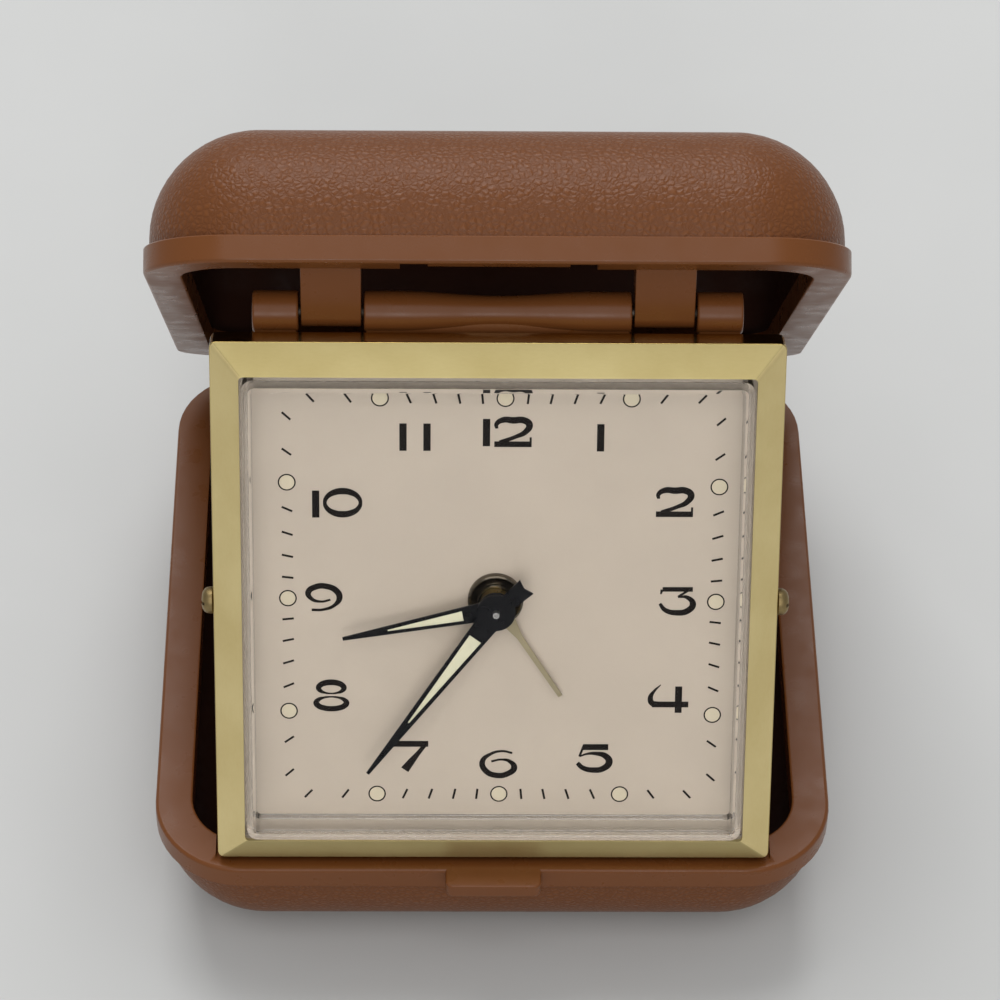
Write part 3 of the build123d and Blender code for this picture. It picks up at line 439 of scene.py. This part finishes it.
def satin(name, colour, stretch):
    """Satin metal: a fine even frosting, a little longer along the frame's bar."""
    made = Finish(name, colour, 0.46, 0.8)
    frost = made.noise(1.0, 3.0, stretch)
    made.gloss(frost, 0.4, 0.52)
    made.bump(frost, 6e-6, 0.6)
    faded = (colour[0] * 0.9, colour[1] * 0.88, colour[2] * 0.82, 1.0)
    made.tint(made.ramp(made.noise(90, 4.0), *PATCH_RANGE), faded, colour)
    return made.material


def leather(name, colour, hollow_colour, size=1350):
    """Moulded leather grain: pebbles of so many to the metre, over softer waves."""
    made = Finish(name, colour, 0.34, specular_ior_level=0.24)
    pebbles = made.ramp(made.cells(size, 0.35), 0.0, 0.4)
    made.bump(pebbles, 8e-5, 0.85)
    made.bump(made.noise(700, 2.0), 8e-5, 0.5)
    made.tint(pebbles, hollow_colour, colour)
    made.link(made.ramp(pebbles, 0.0, 1.0, 0.42, 0.3), made.shader.inputs["Roughness"])
    return made.material


def clear_plastic(name, tint):
    """Clear acrylic with faint mirroring, which lets the lamps' light straight through."""
    made = Finish(
        name, (1, 1, 1, 1), 0.02, transmission_weight=1.0, ior=1.49, specular_tint=tint
    )
    lit_through = made.node("MixShader")
    made.link(made.node("LightPath").outputs["Is Shadow Ray"], lit_through.inputs[0])
    made.link(made.shader.outputs[0], lit_through.inputs[1])
    made.link(made.node("BsdfTransparent").outputs[0], lit_through.inputs[2])
    made.link(lit_through.outputs[0], made.tree.nodes["Material Output"].inputs["Surface"])
    return made.material


BROWN = seen(117, 69, 34)
# A darker brown for the shells' hollow insides: painted shade, standing in for the deep cavity's
# darkness
painted_shade_plastic = plain(
    "painted_shade_plastic", seen(66, 34, 20), 0.5, depth=2e-6, specular_ior_level=0.2
)
brown_plastic = plain(
    "brown_plastic", BROWN, 0.3, speck=300.0, depth=6e-7, shade=0.95, specular_ior_level=0.24
)
leather_grain = leather("leather_grain", BROWN, seen(106, 61, 29))
# One satin brass in two copies, brushed two ways: the darker is painted shade (top and bottom
# bevels and inside), the lighter painted light (side bevels)
satin_across_painted_shade = satin("satin_across_painted_shade", seen(200, 184, 130), (1400, 4200, 4200))
satin_upright_painted_light = satin("satin_upright_painted_light", seen(232, 213, 156), (4200, 1400, 1400))
polished_brass = plain("polished_brass", seen(196, 172, 108), 0.18, 1.0)
worn_brass = plain("worn_brass", seen(152, 132, 92), 0.42, 1.0, 1400)
steel = plain("steel", seen(190, 188, 184), 0.28, 1.0)
brass = plain("brass", seen(200, 175, 110), 0.3, 1.0)
blued_steel = plain("blued_steel", seen(70, 78, 100), 0.3, 1.0)
dark_gilt = plain("dark_gilt", seen(106, 98, 86), 0.14, 1.0)
alarm_gilt = plain("alarm_gilt", seen(160, 148, 118), 0.4, 0.6)
pin_steel = plain("pin_steel", seen(84, 78, 72), 0.5, 1.0)
dial_enamel = plain("dial_enamel", seen(193, 179, 162), 0.5, depth=4e-6, shade=0.965)
black_enamel = plain("black_enamel", seen(12, 12, 15), 0.3, specular_ior_level=0.15)
printing_ink = plain("printing_ink", seen(22, 17, 14), 0.5, specular_ior_level=0.1)
hand_lume = plain("hand_lume", seen(218, 214, 184), 0.8, speck=2500, depth=2e-5, shade=0.93)
dial_lume = plain("dial_lume", seen(212, 200, 174), 0.85, speck=2500, depth=3e-5, shade=0.95)
clear_acrylic = clear_plastic("clear_acrylic", (0.1, 0.1, 0.1, 1.0))

finish_of = {
    "case_plastic": brown_plastic,
    "pin_steel": pin_steel,
    "bezel_brass": polished_brass,
    "screw_brass": worn_brass,
    "clear": clear_acrylic,
    "dial_cream": dial_enamel,
    "hand_black": black_enamel,
    "lume": hand_lume,
    "alarm_brass": dark_gilt,
    "movement_brass": brass,
    "movement_steel": steel,
    "spring_steel": blued_steel,
    "key_metal": brass,
    "knob_metal": brass,
}
slot_of = {entry["node"]: entry["material_slot"] for entry in frame["record"]["subparts"]}
for name, thing in nodes.items():
    paint(thing, finish_of[slot_of[name]])


# The two shells
def shell_rings():
    """The moulding from the top of its dome round the rim band and lip to the cavity's floor."""
    broken, rounded, floor_roll = 0.15, 0.5, 8
    mouth_x, mouth_y = CASE_X - LIP, CASE_Y - LIP
    mouth_edge = ((0.35, 0), (0.1, 0.1), (0, 0.35))
    return [
        *roll(SIDE_X, SIDE_Y, DOME + 0.1, SHELL - DOME, DOME, 14)[::-1],
        (SIDE_X, SIDE_Y, DOME + 0.1, BAND),
        (CASE_X - broken, CASE_Y - broken, RIM_R - broken, BAND),
        (CASE_X, CASE_Y, RIM_R, BAND - broken),
        *roll(CASE_X, CASE_Y, RIM_R, rounded, rounded, 4, up=-1),
        *[(mouth_x + size, mouth_y + size, LIP_R + size, z) for size, z in mouth_edge],
        (mouth_x, mouth_y, LIP_R, BAND),
        (INNER_X, INNER_Y, DOME - WALL, BAND),
        *roll(INNER_X, INNER_Y, DOME - WALL, SHELL - WALL - floor_roll, floor_roll, 6),
    ]


def slanted(start_y, run, rise, width, reach, thick):
    """A block whose upper face rises from the rim at a place, to cut a slope from the lip."""
    angle = atan2(rise, run)
    along, down = Vector((0, cos(angle), sin(angle))), Vector((0, sin(angle), -cos(angle)))
    centre = Vector((0, start_y, 0)) + along * reach / 2 + down * thick / 2
    return block((width, reach, thick), centre, turn=(angle, 0, 0))


def pin_bore(y, z):
    """A hinge pin's bore, right across the clock."""
    return rod(PIN_HOLE, PIN_RUN, (0, y, z), "X", PIN_SIDES)


def hinge_room(x, run):
    return rod(HINGE_ROOM, run + 2 * SIDE_GAP, (x, HINGE_Y, 0), "X")


def hinge_barrel(x, run):
    return rod(HINGE_BARREL, run, (x, HINGE_Y, 0), "X", bevel=0.25)


def hinge_web(x, run):
    """The wall that joins a hinge barrel to its shell."""
    middle = (x, HINGE_Y - HINGE_WEB / 2, HINGE_BARREL / 2)
    return block((run - 0.5, HINGE_WEB, HINGE_BARREL), middle)


def shell(name, own, other):
    """One shell, with the hinge barrels it owns and the room for the other shell's."""
    slope_run, slope_rise = 14, 0.8
    piece = skin(name, shell_rings(), steps=12)
    carve(piece, [slanted(CASE_Y - slope_run, slope_run, slope_rise, 90, 20, 3)])
    carve(piece, [room for span in other for room in both_sides(span, hinge_room)])
    barrels, webs = [], []
    for span in own:
        barrels += both_sides(span, hinge_barrel)
        webs += both_sides(span, hinge_web)
    carve(piece, barrels + webs, "UNION")
    return carve(piece, [pin_bore(HINGE_Y, 0)])


def grained(piece):
    """The leather grain covers a shell's dome outside; the band, lip and hollow are smooth, and
    the hollow's faces take a darker brown that is painted shade.
    """
    hub = Vector((0, 0, BAND))

    def outside(mid, normal):
        return mid.z > BAND + MARGIN and normal.dot(mid - hub) > 0 and mid.y < CASE_Y

    # The hollow's inside faces, which get the painted shade
    def inside(mid, normal):
        within = abs(mid.x) < INNER_X + MARGIN and abs(mid.y) < INNER_Y + MARGIN
        return mid.z > BAND + MARGIN and normal.dot(mid - hub) < 0 and within

    paint(piece, brown_plastic, leather_grain, painted_shade_plastic)
    repaint(piece, 1, outside)
    # Painted shade: the hollow's inside faces take the darker brown
    repaint(piece, 2, inside)


# Lower shell: the thumb tab on its front, and the rest for the clock's edge in its lip
TAB_X, TAB_Y, TAB_R, TAB_ROLL, TAB_FOOT, TAB_TOP, TAB_IN = 5.95, 2.85, 0.9, 0.3, 0.32, 1.9, 0.45
REST_IN, REST_RUN, REST_DROP, REST_WIDTH = 1.9, 2.8, 1.5, 69.2
lower = shell("lower_case", (KNUCKLES, MIDDLE), (STRAPS,))
tab_rings = roll(TAB_X, TAB_Y, TAB_R, TAB_FOOT, TAB_ROLL, 3, up=-1)[::-1]
tab_rings += roll(TAB_X, TAB_Y, TAB_R, TAB_TOP, TAB_ROLL, 3)
tab = skin("tab", tab_rings, 4)
tab.location = (0, FRONT + TAB_IN, 0)
carve(lower, [tab], "UNION")
carve(lower, [slanted(FRONT + REST_IN, REST_RUN, REST_DROP, REST_WIDTH, 9, 4)])
grained(lower)
settle(lower, LOWER, "base", ("lower_shell",))

# Upper shell: a latch tongue between two slits in its lip, thinned behind, and the two straps
LIP_CUT, LIP_CUT_Z, SLIT_X = 4.3, 1.15, 10.05
TONGUE_SIZE, TONGUE_IN = (16.8, 3.2, LIP_CUT), 4.1
SLIT_SIZE, SLIT_IN = (3.3, 4.9, LIP_CUT), 3.25
LID_PIVOT = (FRONT + PIVOT_IN, -PIVOT_OUT)
STRAP_ROOT, ROOT_IN, ROOT_Z = (3.4, 2.95), 5.7, 1.825
upper = shell("upper_case", (STRAPS,), (KNUCKLES, MIDDLE))
carve(upper, [block(TONGUE_SIZE, (0, FRONT + TONGUE_IN, LIP_CUT_Z))])
for side in (-1, 1):
    carve(upper, [block(SLIT_SIZE, (side * SLIT_X, FRONT + SLIT_IN, LIP_CUT_Z))])


def strap(middle, length):
    """A strap from the lip to the clock's hinge pin."""
    barrel = rod(STRAP_BARREL, length, (middle, *LID_PIVOT), "X")
    root = block((length, *STRAP_ROOT), (middle, FRONT + ROOT_IN, ROOT_Z))
    piece = together("strap", [barrel, root])
    edit()
    bpy.ops.mesh.select_all(action="SELECT")
    bpy.ops.mesh.convex_hull()

    def outline(mid, edge):
        return abs(abs(mid.z) - length / 2) < TOUCH and edge.calc_face_angle(0) > 0.5

    pick(outline, "EDGE")
    bpy.ops.mesh.bevel(offset=0.2, segments=2, affect="EDGES")
    edit(done=True)
    return piece


carve(upper, both_sides(STRAPS, strap), "UNION")
carve(upper, [pin_bore(*LID_PIVOT)])
grained(upper)
settle(upper, UPPER, "lid", ("upper_shell",))

# Clock housing: dial tray and movement body, then its row of knuckles
housing_rings = [
    *roll(BODY_X, BODY_Y, 4, BODY_BACK, 1.6, 5, up=-1)[::-1],
    (BODY_X, BODY_Y, 4, BODY_FRONT),
    (TRAY_X, TRAY_Y, 0.8, BODY_FRONT),
    (TRAY_X, TRAY_Y, 0.8, TRAY_EDGE),
    (SEAT_X, SEAT_Y, 0.8, TRAY_EDGE),
    (SEAT_X, SEAT_Y, 0.8, TRAY_FLOOR),
    (BODY_X - 1.5, BODY_Y - 1.5, 2.5, TRAY_FLOOR),
    (BODY_X - 1.5, BODY_Y - 1.5, 2.5, BODY_BACK - 0.1),
]
housing = skin("housing", housing_rings, steps=6)
HEAD_PIVOT = (PIVOT_UP, -PIVOT_DEPTH)
WEB_FOOT, WEB_THICK = 29.8, 3.4


def knuckle(x, run):
    return rod(BARREL, run, (x, *HEAD_PIVOT), "X", 64, 0.3, 3)


def knuckle_web(x, run):
    """The wall between a knuckle and the movement body."""
    middle = (x, (PIVOT_UP + WEB_FOOT) / 2, -PIVOT_DEPTH)
    return block((run - 0.6, PIVOT_UP - WEB_FOOT, WEB_THICK), middle)


# The middle knuckle narrows smoothly to a waist, where the latch tongue springs in
stations = range(-WAIST_HALF, WAIST_HALF + 1)
waist = [(BARREL - WAIST * cos(pi * z / (2 * WAIST_HALF)) ** 2, z) for z in stations]
rounded_end = [(BARREL, 15.7), (BARREL - 0.08, 15.9), (BARREL - 0.3, 16)]
foot = [(radius, -z) for radius, z in rounded_end[::-1]]
middle_knuckle = turned("middle_knuckle", [*foot, *waist, *rounded_end], 16)
along_x = Matrix.Rotation(pi / 2, 4, "Y")
middle_knuckle.matrix_world = Matrix.Translation((0, *HEAD_PIVOT)) @ along_x
outer_knuckles = both_sides(KNUCKLES, knuckle)
webs = [*both_sides(MIDDLE, knuckle_web), *both_sides(KNUCKLES, knuckle_web)]
carve(housing, [middle_knuckle, *outer_knuckles, *webs], "UNION")
carve(housing, [pin_bore(*HEAD_PIVOT)])

# Holes in its back for the arbors, the alarm stop and the regulator, and the screws' bore
back_arbors = [(0, 0), *[(-x, y) for x, y in (MAIN, ALARM_SET, ALARM_KEY)]]
carve(housing, [rod(ARBOR_HOLE, BACK_CUT, (x, y, BACK_Z), sides=32) for x, y in back_arbors])
carve(housing, [
    block((STOP_RUN, 2 * STOP_HALF, BACK_CUT), (-STOP_RUN / 2, STOP_Y, BACK_Z)),
    rod(STOP_HALF, BACK_CUT, (0, STOP_Y, BACK_Z)),
    rod(STOP_HALF, BACK_CUT, (-STOP_RUN, STOP_Y, BACK_Z)),
])
sweep = []
for turn in range(RATE_FROM, RATE_TO + 1, RATE_STEP):
    x = -BALANCE[0] + RATE_REACH * cos(radians(turn))
    y = BALANCE[1] + RATE_REACH * sin(radians(turn))
    sweep.append(rod(RATE_HALF, BACK_CUT, (x, y, BACK_Z), sides=32))
carve(housing, sweep)
carve(housing, [rod(SCREW_HOLE, 80, (0, 0, SCREW_Z), "X", 24)])


def in_tray_painted_light(mid, normal):
    """The tray's floor and walls, which take the dial's enamel: painted light, to brighten the
    shaded gap round the dial under the bezel.
    """
    level = TRAY_FLOOR - 0.01 < mid.z < TRAY_EDGE - 0.01
    return level and abs(mid.x) < SEAT_X + 0.1 and abs(mid.y) < SEAT_Y + 0.1


paint(housing, brown_plastic, dial_enamel)
# Painted light: the tray's walls take the dial's cream
repaint(housing, 1, in_tray_painted_light)
settle(housing, HEAD, "clock", ("clock_housing",))

# Bezel: satin bevels and inside, a bright rounded edge, and a polished skirt; the side bevels'
# satin is painted lighter as painted light, the rest of the satin darker as painted shade
bezel_rings = [
    (HEAD_X, HEAD_Y, 0.8, -3.6),
    *roll(HEAD_X, HEAD_Y, 0.8, -0.25, 0.25, 4, end=54),
    (30.85, 30.45, 0.5, 2.5),
    (30.7, 30.3, 0.5, 2.55),
    (30.7, 30.3, 0.5, 1.9),
    (33.75, 33.35, 0.6, -0.5),
    (33.75, 33.35, 0.6, -3.6),
]
bezel = skin("bezel_frame", bezel_rings, steps=3, closed=True)


def within_skirt(mid, normal):
    return abs(mid.x) < HEAD_X - 0.4 and abs(mid.y) < HEAD_Y - 0.4


def side_bevel(mid, normal):
    return normal.z > 0.5 and mid.z > 0.1 and abs(normal.x) > abs(normal.y)


paint(bezel, polished_brass, satin_across_painted_shade, satin_upright_painted_light)
repaint(bezel, 1, within_skirt)
# Painted light: the side bevels take the lighter satin
repaint(bezel, 2, side_bevel)
settle(bezel, HEAD, "clock", ("bezel",), angle=18)

# Side screws, slotted and domed
screw_profile = [(1.5, 0.05), (SCREW_R, 0.2)]
for turn in (0, 20, 40, 60, 75, 85):
    screw_profile.append((SCREW_R * cos(radians(turn)) ** 0.6, 0.5 + sin(radians(turn))))
screw = turned("side_screw", screw_profile, 8)
carve(screw, [block((0.4, 5, 0.8), (0, 0, 1.5))])
carve(screw, [rod(0.7, 1.3, (0, 0, -0.6), sides=24)], "UNION")
paint(screw, worn_brass)
for side, piece in ((-1, screw), (1, copy_of(screw))):
    on_side = Matrix(
        ((0, 0, side, side * HEAD_X), (side, 0, 0, 0), (0, 1, 0, SCREW_Z), (0, 0, 0, 1))
    )
    settle(piece, HEAD @ on_side, "clock", ("side_screws",))

# Crystal: a clear box with bevelled edges and a flange
crystal_rings = [
    (29.3, 28.9, 0.2, 4.0),
    (30.4, 30.0, 1.3, 2.9),
    (30.4, 30.0, 1.3, -2.05),
    (32.15, 31.75, 0.8, -2.05),
    (32.15, 31.75, 0.8, -2.85),
    (29.4, 29.0, 0.5, -2.85),
    (29.4, 29.0, 0.5, 3.0),
]
crystal = skin("crystal_box", crystal_rings, steps=5)
paint(crystal, clear_acrylic)
settle(crystal, HEAD, "clock", ("crystal",), round_off=0.07)

# Dial print: how thick it is drawn, and how high it stands on the dial
PRINT, PRINT_HEIGHT = 0.03, 0.02


def on_dial(piece, x=0.0, y=0.0, turn=0.0, height=PRINT_HEIGHT):
    """Sets a printed piece on the dial, by place and turn."""
    place = Matrix.Translation((x, y, height - DIAL_DEPTH)) @ Matrix.Rotation(turn, 4, "Z")
    piece.matrix_world = place @ piece.matrix_world
    return piece


def stroke(points, closed=False):
    """A pen stroke, drawn through points given as x, y and the width there."""
    curve = bpy.data.curves.new("stroke", "CURVE")
    curve.dimensions, curve.use_fill_caps = "3D", True
    curve.bevel_depth, curve.bevel_resolution, curve.resolution_u = 0.5, 3, 10
    line = curve.splines.new("BEZIER")
    line.bezier_points.add(len(points) - 1)
    line.use_cyclic_u = closed
    for knot, (x, y, width) in zip(line.bezier_points, points):
        knot.co, knot.radius = (x, y, 0), width
        knot.handle_left_type = knot.handle_right_type = "AUTO"
    drawn = bpy.data.objects.new("stroke", curve)
    bpy.context.scene.collection.objects.link(drawn)
    active(drawn)
    bpy.ops.object.convert(target="MESH")
    drawn.scale = (1, 1, PRINT)
    bpy.ops.object.transform_apply(location=False, rotation=False, scale=True)
    return drawn


def bar(x, y, width, height):
    """A straight printed stroke with square ends."""
    return block((width, height, PRINT), (x, y, 0), 0.01, 1)


def ring(x, y, half_x, half_y, top, side, bottom, knots=12):
    """A closed oval stroke whose width changes round it."""
    points = []
    for step in range(knots):
        turn = 2 * pi * step / knots
        up = sin(turn)
        width = side + ((top if up > 0 else bottom) - side) * abs(up) ** 1.5
        points.append((x + half_x * cos(turn), y + half_y * up, width))
    return stroke(points, closed=True)


def figure(digit):
    """One printed numeral about its own centre, as its strokes."""
    if digit == 1:
        return [bar(0, 0, 0.88, 3.5)]
    if digit == 0:
        return [ring(0, 0, 2.15, 1.5, 0.85, 0.45, 0.85)]
    if digit == 2:
        top = [
            (-1.95, 0.45, 0.35), (-2.0, 1.0, 0.55), (-1.2, 1.55, 0.75), (0, 1.5, 0.85),
            (1.3, 1.5, 0.85), (1.95, 0.95, 0.85), (1.5, 0.05, 0.7), (0.3, -0.6, 0.5),
            (-1.6, -1.3, 0.5),
        ]
        return [stroke(top), bar(0, -1.55, 4.5, 0.72), bar(2.12, -1.0, 0.26, 0.7)]
    if digit == 3:
        bowl = [
            (0.1, 0.5, 0.15), (1.2, 0.5, 0.5), (1.95, -0.4, 0.8), (1.3, -1.3, 0.8),
            (0, -1.55, 0.75), (-1.4, -1.2, 0.6), (-2.1, -0.35, 0.4),
        ]
        tick = stroke([(-1.85, 1.5, 0.4), (-2.0, 0.9, 0.2)])
        neck = stroke([(1.8, 1.7, 0.3), (0.1, 0.55, 0.3)])
        return [bar(0.05, 1.54, 3.7, 0.6), tick, neck, stroke(bowl)]
    if digit == 4:
        sweep = [
            (-0.95, 1.85, 0.12), (-1.75, 1.0, 0.35), (-2.2, 0.1, 0.65), (-2.0, -0.6, 0.75),
            (-1.3, -0.8, 0.78),
        ]
        return [bar(0.25, -0.8, 4.5, 0.78), bar(1.26, -0.15, 0.86, 3.56), stroke(sweep)]
    if digit == 5:
        bowl = [
            (-1.75, 0.25, 0.2), (-0.8, 0.6, 0.3), (0.3, 0.65, 0.5), (1.5, 0.3, 0.8),
            (1.95, -0.5, 0.9), (1.2, -1.4, 0.8), (0, -1.6, 0.75), (-1.3, -1.3, 0.65),
            (-2.0, -0.65, 0.55),
        ]
        neck = stroke([(-1.2, 1.8, 0.3), (-1.75, 0.25, 0.3)])
        return [bar(0.25, 1.53, 3.1, 0.8), neck, stroke(bowl)]
    if digit == 6:
        return [stroke([
            (1.7, 1.5, 0.3), (0.4, 1.75, 0.3), (-1.0, 1.35, 0.4), (-2.0, 0.3, 0.7),
            (-1.6, -0.9, 0.75), (-0.3, -1.55, 0.75), (1.2, -1.3, 0.75), (1.95, -0.5, 0.8),
            (1.4, 0.35, 0.5), (0.4, 0.6, 0.28), (-0.9, 0.35, 0.3),
        ])]
    if digit == 7:
        leg = [(2.1, 1.5, 0.5), (1.2, 0.3, 0.6), (0.3, -0.9, 0.9), (-0.45, -1.95, 1.1)]
        tick = stroke([(-2.1, 1.4, 0.6), (-2.35, 0.75, 0.3)])
        return [bar(0.08, 1.58, 4.75, 0.8), tick, stroke(leg)]
    if digit == 8:
        top = ring(0, 1.05, 1.55, 0.75, 0.78, 0.7, 0.2)
        return [top, ring(0, -0.95, 1.85, 0.8, 0.2, 0.75, 0.72)]
    return [stroke([
        (0.85, -0.25, 0.28), (-0.3, -0.5, 0.3), (-1.5, -0.1, 0.5), (-1.85, 0.7, 0.75),
        (-0.9, 1.45, 0.75), (0.4, 1.5, 0.75), (1.6, 0.9, 0.8), (1.95, 0, 0.75),
        (1.3, -1.0, 0.45), (0, -1.55, 0.35), (-1.45, -1.6, 0.35),
    ])]


# Each numeral's digits with their places, and the square track of minutes, a little off centre
NUMERALS = [
    (1, -1.28, 21.6), (2, 1.91, 21.67), (1, 12.44, 20.98), (2, 21.55, 12.71), (3, 22.15, -0.22),
    (4, 21.4, -13.23), (5, 12.33, -21.36), (6, 0.56, -22.16), (7, -10.6, -21.03),
    (8, -20.09, -12.97), (9, -20.97, 0.07), (1, -21.83, 12.32), (0, -18.58, 12.51),
    (1, -11.3, 20.98), (1, -8.42, 20.98),
]
TRACK, TRACK_X, TRACK_Y, TRACK_TURN = 26.1, 0.8, -0.15, -0.006
DOT_PROFILE = [(0.93, -0.02), (0.9, 0.04), (0.6, 0.08)]

# Each numeral, stroke, circle and dot is modelled once and copied round the dial
patterns = {digit: together("figure", figure(digit)) for digit in range(10)}
patterns["tick"] = bar(0, 0, 1.4, 0.27)
bpy.ops.mesh.primitive_torus_add(
    major_segments=40, minor_segments=8, major_radius=1.0, minor_radius=0.085
)
patterns["circle"] = bpy.context.object
patterns["circle"].scale = (1, 1, 0.2)
patterns["dot"] = turned("dot", DOT_PROFILE, 6)
bpy.context.view_layer.update()
printed = [on_dial(copy_of(patterns[digit]), x, y) for digit, x, y in NUMERALS]
dots = []
for minute in range(60):
    turn = radians(90 - 6 * minute) + TRACK_TURN
    reach = TRACK / max(abs(cos(turn)), abs(sin(turn)))
    x, y = TRACK_X + reach * cos(turn), TRACK_Y + reach * sin(turn)
    if minute % 5:
        printed.append(on_dial(copy_of(patterns["tick"]), x, y, turn))
    else:
        printed.append(on_dial(copy_of(patterns["circle"]), x, y))
        dots.append(on_dial(copy_of(patterns["dot"]), x, y, height=0.0))
discard(patterns.values())
marks = together("dial_print", printed)
paint(marks, printing_ink)
settle(marks, HEAD, "clock")
lume_dots = together("hour_dots", dots)
paint(lume_dots, dial_lume)
settle(lume_dots, HEAD, "clock")

# Hands: their sheet, the half width of a tip, and the border round a window
SHEET, TIP, BORDER, WINDOW_TIP = 0.25, 0.2, 0.42, 0.1
# The minute hand's forked tail, which stands a little off the hand's line
TAIL_TURN, TAIL_END, TAIL_ROOT, FORK_MOUTH, FORK_ROOT = radians(-11), -5.0, -1.5, -5.35, -4.65


def hand_place(level, angle):
    """The frame of a hand: X along it, its back at its level above the dial."""
    turn = Matrix.Rotation(radians(90 - angle), 4, "Z")
    return HEAD @ Matrix.Translation((0, 0, level - DIAL_DEPTH)) @ turn


def taper(start, end, start_half, end_half, low, high):
    """A tapered bar that runs along +X."""
    size = (end - start, 2 * start_half, high - low)
    piece = block(size, ((start + end) / 2, 0, (low + high) / 2))
    edit()
    pick(lambda place: place.x > 0)
    bpy.ops.transform.resize(value=(1, end_half / start_half, 1), center_override=(end, 0, 0))
    edit(done=True)
    return piece


def fluted(piece):
    """Bevels the long top edges of a hand."""

    def top_edge(mid, edge):
        sharp = edge.is_manifold and edge.calc_face_angle(0) > 0.5
        return abs(mid.z - SHEET) < TOUCH and sharp

    active(piece)
    edit()
    pick(top_edge, "EDGE")
    bpy.ops.mesh.bevel(offset=0.09, segments=2, affect="EDGES")
    edit(done=True)
    return piece


def forked_tail():
    """The minute hand's short tail, with a notch in its end."""
    piece = taper(TAIL_END, TAIL_ROOT, 1.2, 1.0, 0, SHEET)
    carve(piece, [taper(FORK_MOUTH, FORK_ROOT, 2.3, 0.05, -1, 1)])
    piece.matrix_world = Matrix.Rotation(TAIL_TURN, 4, "Z") @ piece.matrix_world
    return piece


def hand(name, level, angle, length, root, hub, bore, window, body, node, tails=()):
    """A lance hand with an open window, and the luminous paint that fills it."""
    blade = taper(0, length, root, TIP, 0, SHEET)
    carve(blade, [rod(hub, SHEET, (0, 0, SHEET / 2), sides=64), *tails], "UNION")
    start, end = window
    open_half = root - (root - TIP) * start / length - BORDER
    carve(blade, [taper(start, end, open_half, WINDOW_TIP, -1, 1)])
    carve(blade, [rod(bore, 2, (0, 0, 0), sides=32)])
    blade.name = name + "_hand_blade"
    fluted(blade)
    paint(blade, black_enamel)
    settle(blade, hand_place(level, angle), body, (node,), angle=25)
    fill = taper(start, end, open_half, WINDOW_TIP, 0.05, 0.2)
    fill.name = name + "_hand_paint"
    edit()
    pick(lambda mid, normal: normal.z > 0.9, "FACE")
    bpy.ops.mesh.inset(thickness=0.08)
    bpy.ops.transform.translate(value=(0, 0, 0.07))
    edit(done=True)
    paint(fill, hand_lume)
    settle(fill, hand_place(level, angle), body, (node + "_lume",), angle=60)


# Level over the dial, angle from the 12, length, half width at the root, hub, bore and window
hour_sizes = (3.2, 258.0, 19.0, 1.32, 2.15, 1.14, (4.1, 13.4))
minute_sizes = (4.3, 216.0, 26.5, 1.5, 2.35, 0.44, (4.2, 18.0))
hand("hour", *hour_sizes, "hour_group", "hour_hand")
hand("minute", *minute_sizes, "minute_group", "minute_hand", [forked_tail()])

# Alarm hand: a cup with a rolled rim and an inner collar, and a thin pointer
cup = [
    (3.34, -0.05), (3.4, 0.0), (3.4, 0.62), (3.3, 0.8), (3.12, 0.88), (2.95, 0.82), (2.75, 0.6),
    (2.5, 0.45), (2.26, 0.42), (2.26, 1.2), (2.18, 1.3), (1.96, 1.3), (1.96, -0.05),
]
alarm_boss = turned("alarm_boss", cup, 16, closed=True)
paint(alarm_boss, dark_gilt)
on_centre = Matrix.Translation((0, 0, -DIAL_DEPTH))
settle(alarm_boss, HEAD @ on_centre, "alarm_group", ("alarm_hand",))
pointer = taper(5.4, 14.8, 0.36, 0.27, 0, SHEET)
carve(pointer, [taper(2.4, 5.5, 1.0, 0.36, 0, SHEET)], "UNION")
carve(pointer, [rod(2.27, 2, (0, 0, 0), sides=64)])
pointer.name = "alarm_pointer"
fluted(pointer)
paint(pointer, alarm_gilt)
settle(pointer, hand_place(1.0, 147.0), "alarm_group", ("alarm_hand",), angle=25)

# Floor, light and camera, in metres
bpy.ops.mesh.primitive_plane_add(size=6.0, location=(0, 0, 0))
floor = bpy.context.object
floor.name = "floor"
paint(floor, plain("pale_paper", seen(205, 206, 205), 0.9, speck=40.0, shade=0.98))

world = bpy.data.worlds.new("studio")
bpy.context.scene.world = world
world.use_nodes = True
world.node_tree.nodes["Background"].inputs["Color"].default_value = (1.0, 1.0, 1.0, 1.0)
world.node_tree.nodes["Background"].inputs["Strength"].default_value = 0.4


def lamp(name, place, target, size, power):
    """A soft square lamp aimed at a point."""
    data = bpy.data.lights.new(name, "AREA")
    data.size = size
    data.energy = power
    made = bpy.data.objects.new(name, data)
    bpy.context.scene.collection.objects.link(made)
    made.location = place
    made.rotation_euler = (Vector(target) - Vector(place)).to_track_quat("-Z", "Y").to_euler()


lamp("window", (-0.1, 0.68, 1.18), (0, 0, 0.05), 0.9, 10.8)
lamp("room", (0.0, -0.75, 1.3), (0, 0, 0.05), 1.0, 4.2)
lamp("front", (0.0, -1.15, 0.7), (0, 0, 0.03), 0.4, 2.6)

camera_place = Vector((-0.00793, -0.34155, 0.41871))
camera_right = Vector((0.99984, -0.00897, 0.01518))
camera_up = Vector((-0.00349, 0.74329, 0.66896))
camera_back = camera_right.cross(camera_up)
camera_data = bpy.data.cameras.new("camera")
camera_data.sensor_width = 36.0
camera_data.lens = 144.0
camera = bpy.data.objects.new("camera", camera_data)
bpy.context.scene.collection.objects.link(camera)
camera_turn = Matrix((camera_right, camera_up, camera_back)).transposed().to_4x4()
camera.matrix_world = Matrix.Translation(camera_place) @ camera_turn
bpy.context.scene.camera = camera
bpy.context.scene.view_settings.view_transform = "Standard"
